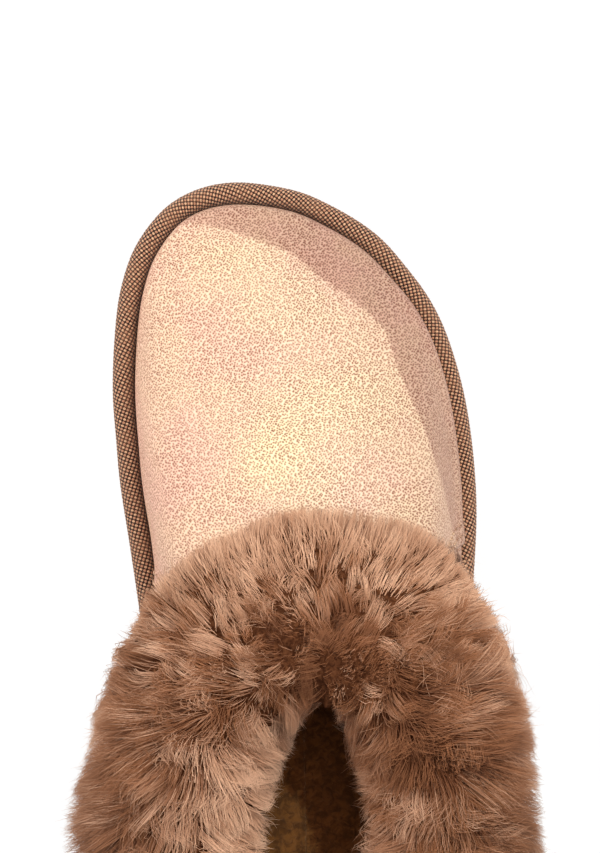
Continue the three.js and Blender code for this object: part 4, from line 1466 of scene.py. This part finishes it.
def lit_edge_points():
    """The edge of the lit area on the upper, in the row frame."""
    u, v = np.meshgrid(np.linspace(-0.26, 0.26, 420), np.linspace(0, 1, 160), indexing="ij")
    surface = skin(u, v).reshape(-1, 3)
    surface_seen = seen(surface)
    pts = []
    for spot in LIT_EDGE:
        z = surface[np.argmin(((surface_seen - spot) ** 2).sum(1)), 2]
        k = (CAM_HEIGHT - z) / (CAM_HEIGHT - VIEW_Z)
        pts.append(np.r_[VIEW_CENTRE + (spot - VIEW_CENTRE) * k, z])
    return to_frame(pts)


def key_light():
    """A key with a straight-cut edge: it leaves the outer toe and side in the soft fill."""
    level = math.cos(KEY_ELEVATION)
    way = Vector((math.cos(KEY_AZIMUTH) * level, math.sin(KEY_AZIMUTH) * level,
                  math.sin(KEY_ELEVATION)))
    loc = KEY_TARGET + way * KEY_DISTANCE
    ob = add_light("key", "SPOT", loc, KEY_TARGET, KEY_POWER, KEY_COLOUR,
                   shadow_soft_size=0.0008, spot_size=math.radians(30), spot_blend=0.3)
    # slopes a and b of the edge's points from the lamp's axis, in two square directions
    axis = np.array((KEY_TARGET - loc).normalized())
    dir_a = np.array([1.0, -1.0, 0]) / math.sqrt(2)
    dir_b = np.array([1.0, 1.0, 0]) / math.sqrt(2)
    dir_a = unit(dir_a - axis * (dir_a @ axis))
    dir_b = unit(dir_b - axis * (dir_b @ axis) - dir_a * (dir_b @ dir_a))
    rays = lit_edge_points() - np.array(loc)
    depth = rays @ axis
    a, b = (rays @ dir_a) / depth, (rays @ dir_b) / depth
    order = np.argsort(a)
    a, b = a[order], b[order]
    a_lo, a_span = a[0], a[-1] - a[0]
    b_lo = b.min() - 0.001
    b_span = b.max() + 0.001 - b_lo
    # the lamp shines where b is below the edge's b at the same a
    ob.data.use_nodes = True
    m = Nodes(ob.data.node_tree)
    incoming = m.add("ShaderNodeNewGeometry").outputs["Incoming"]

    def dot(vec):
        return m.vmath("DOT_PRODUCT", incoming, tuple(vec), out="Value")

    def share(direction, low, span):
        slope = m.math("DIVIDE", dot(direction), forward)
        return m.math("DIVIDE", m.math("SUBTRACT", slope, low), span)

    forward = dot(axis)
    at_a, at_b = share(dir_a, a_lo, a_span), share(dir_b, b_lo, b_span)
    levels = (b - b_lo) / b_span
    cut = m.ramp(at_a, [(x, (y, y, y, 1)) for x, y in zip((a - a_lo) / a_span, levels)])
    soft = KEY_SOFTNESS / b_span
    lit = m.range(m.math("SUBTRACT", cut, at_b), (-soft, soft))
    m.put(m.tree.nodes["Emission"].inputs["Strength"], lit)
    return ob


key = key_light()
# the pile takes the same light from a broad source, so that its tufts shade softly
SOFT_DISTANCE = 1.6
SOFT_TARGET = Vector((0, 0.0, 0.06))
soft_loc = SOFT_TARGET + (key.location - KEY_TARGET).normalized() * SOFT_DISTANCE
soft_key = area("key_soft", soft_loc, SOFT_TARGET, size=0.9, colour=PILE_COLOUR,
                power=KEY_POWER / 4 * (SOFT_DISTANCE / KEY_DISTANCE) ** 2)
for ob in list(bpy.context.scene.objects):
    if ob.type == "MESH" and not ob.name.startswith("floor"):
        in_pile = ob.name.startswith("fur_") or ob.name in ("cuff_underfur", "rand_weave")
        (PILE_SET if in_pile else REST_SET).objects.link(ob)
REST_SET.objects.link(floor_ob)
key.light_linking.receiver_collection = REST_SET
soft_key.light_linking.receiver_collection = PILE_SET
centre = Vector((0, 0.03, 0.05))
area("top", (0.25, 0.35, 1.5), centre, size=1.4, power=9, colour=(1.0, 0.98, 0.98))
area("left", (-1.2, 0.2, 0.8), centre, size=1.0, power=9)
area("right", (1.2, 0.1, 0.8), centre, size=1.0, power=3, colour=(1.0, 0.96, 0.96))
# a low light that picks out the upper's medial edge
low = area("left_low", (-1.3, 0.15, 0.42), centre, size=0.8, power=4, colour=(1.0, 0.98, 0.97))
low.light_linking.receiver_collection = REST_SET


# ------------------------------------------------------------------ world and camera
def pale_world():
    world = bpy.data.worlds.new("pale")
    bpy.context.scene.world = world
    world.use_nodes = True
    m = Nodes(world.node_tree)
    fill = m.tree.nodes["Background"]
    fill.inputs["Color"].default_value = (1, 0.97, 0.965, 1)
    fill.inputs["Strength"].default_value = 0.585
    # seen past the floor's far edge, the surroundings are as pale as the floor
    white = m.add("ShaderNodeBackground", dict(Color=(1, 1, 1, 1), Strength=1.0))
    to_camera = m.add("ShaderNodeLightPath").outputs["Is Camera Ray"]
    mixed = m.add("ShaderNodeMixShader", {0: to_camera, 1: fill.outputs[0], 2: white.outputs[0]})
    m.put(m.tree.nodes["World Output"].inputs["Surface"], mixed.outputs[0])


def add_camera():
    data = bpy.data.cameras.new("camera")
    data.sensor_fit = "VERTICAL"
    data.sensor_height = 36.0
    data.sensor_width = 36.0
    data.lens = data.sensor_height * (CAM_HEIGHT - VIEW_Z) / VIEW_HEIGHT
    camera = bpy.data.objects.new("camera", data)
    camera.location = to_frame([*VIEW_CENTRE, CAM_HEIGHT])
    bpy.context.scene.collection.objects.link(camera)
    bpy.context.scene.camera = camera


pale_world()
add_camera()
bpy.context.scene.view_settings.view_transform = "Standard"

vis_lo, vis_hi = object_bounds()
sizes = {"cad": (cad_lo, cad_hi), "visual": (vis_lo, vis_hi)}
sizes = {key: [list(map(float, corner)) for corner in box] for key, box in sizes.items()}
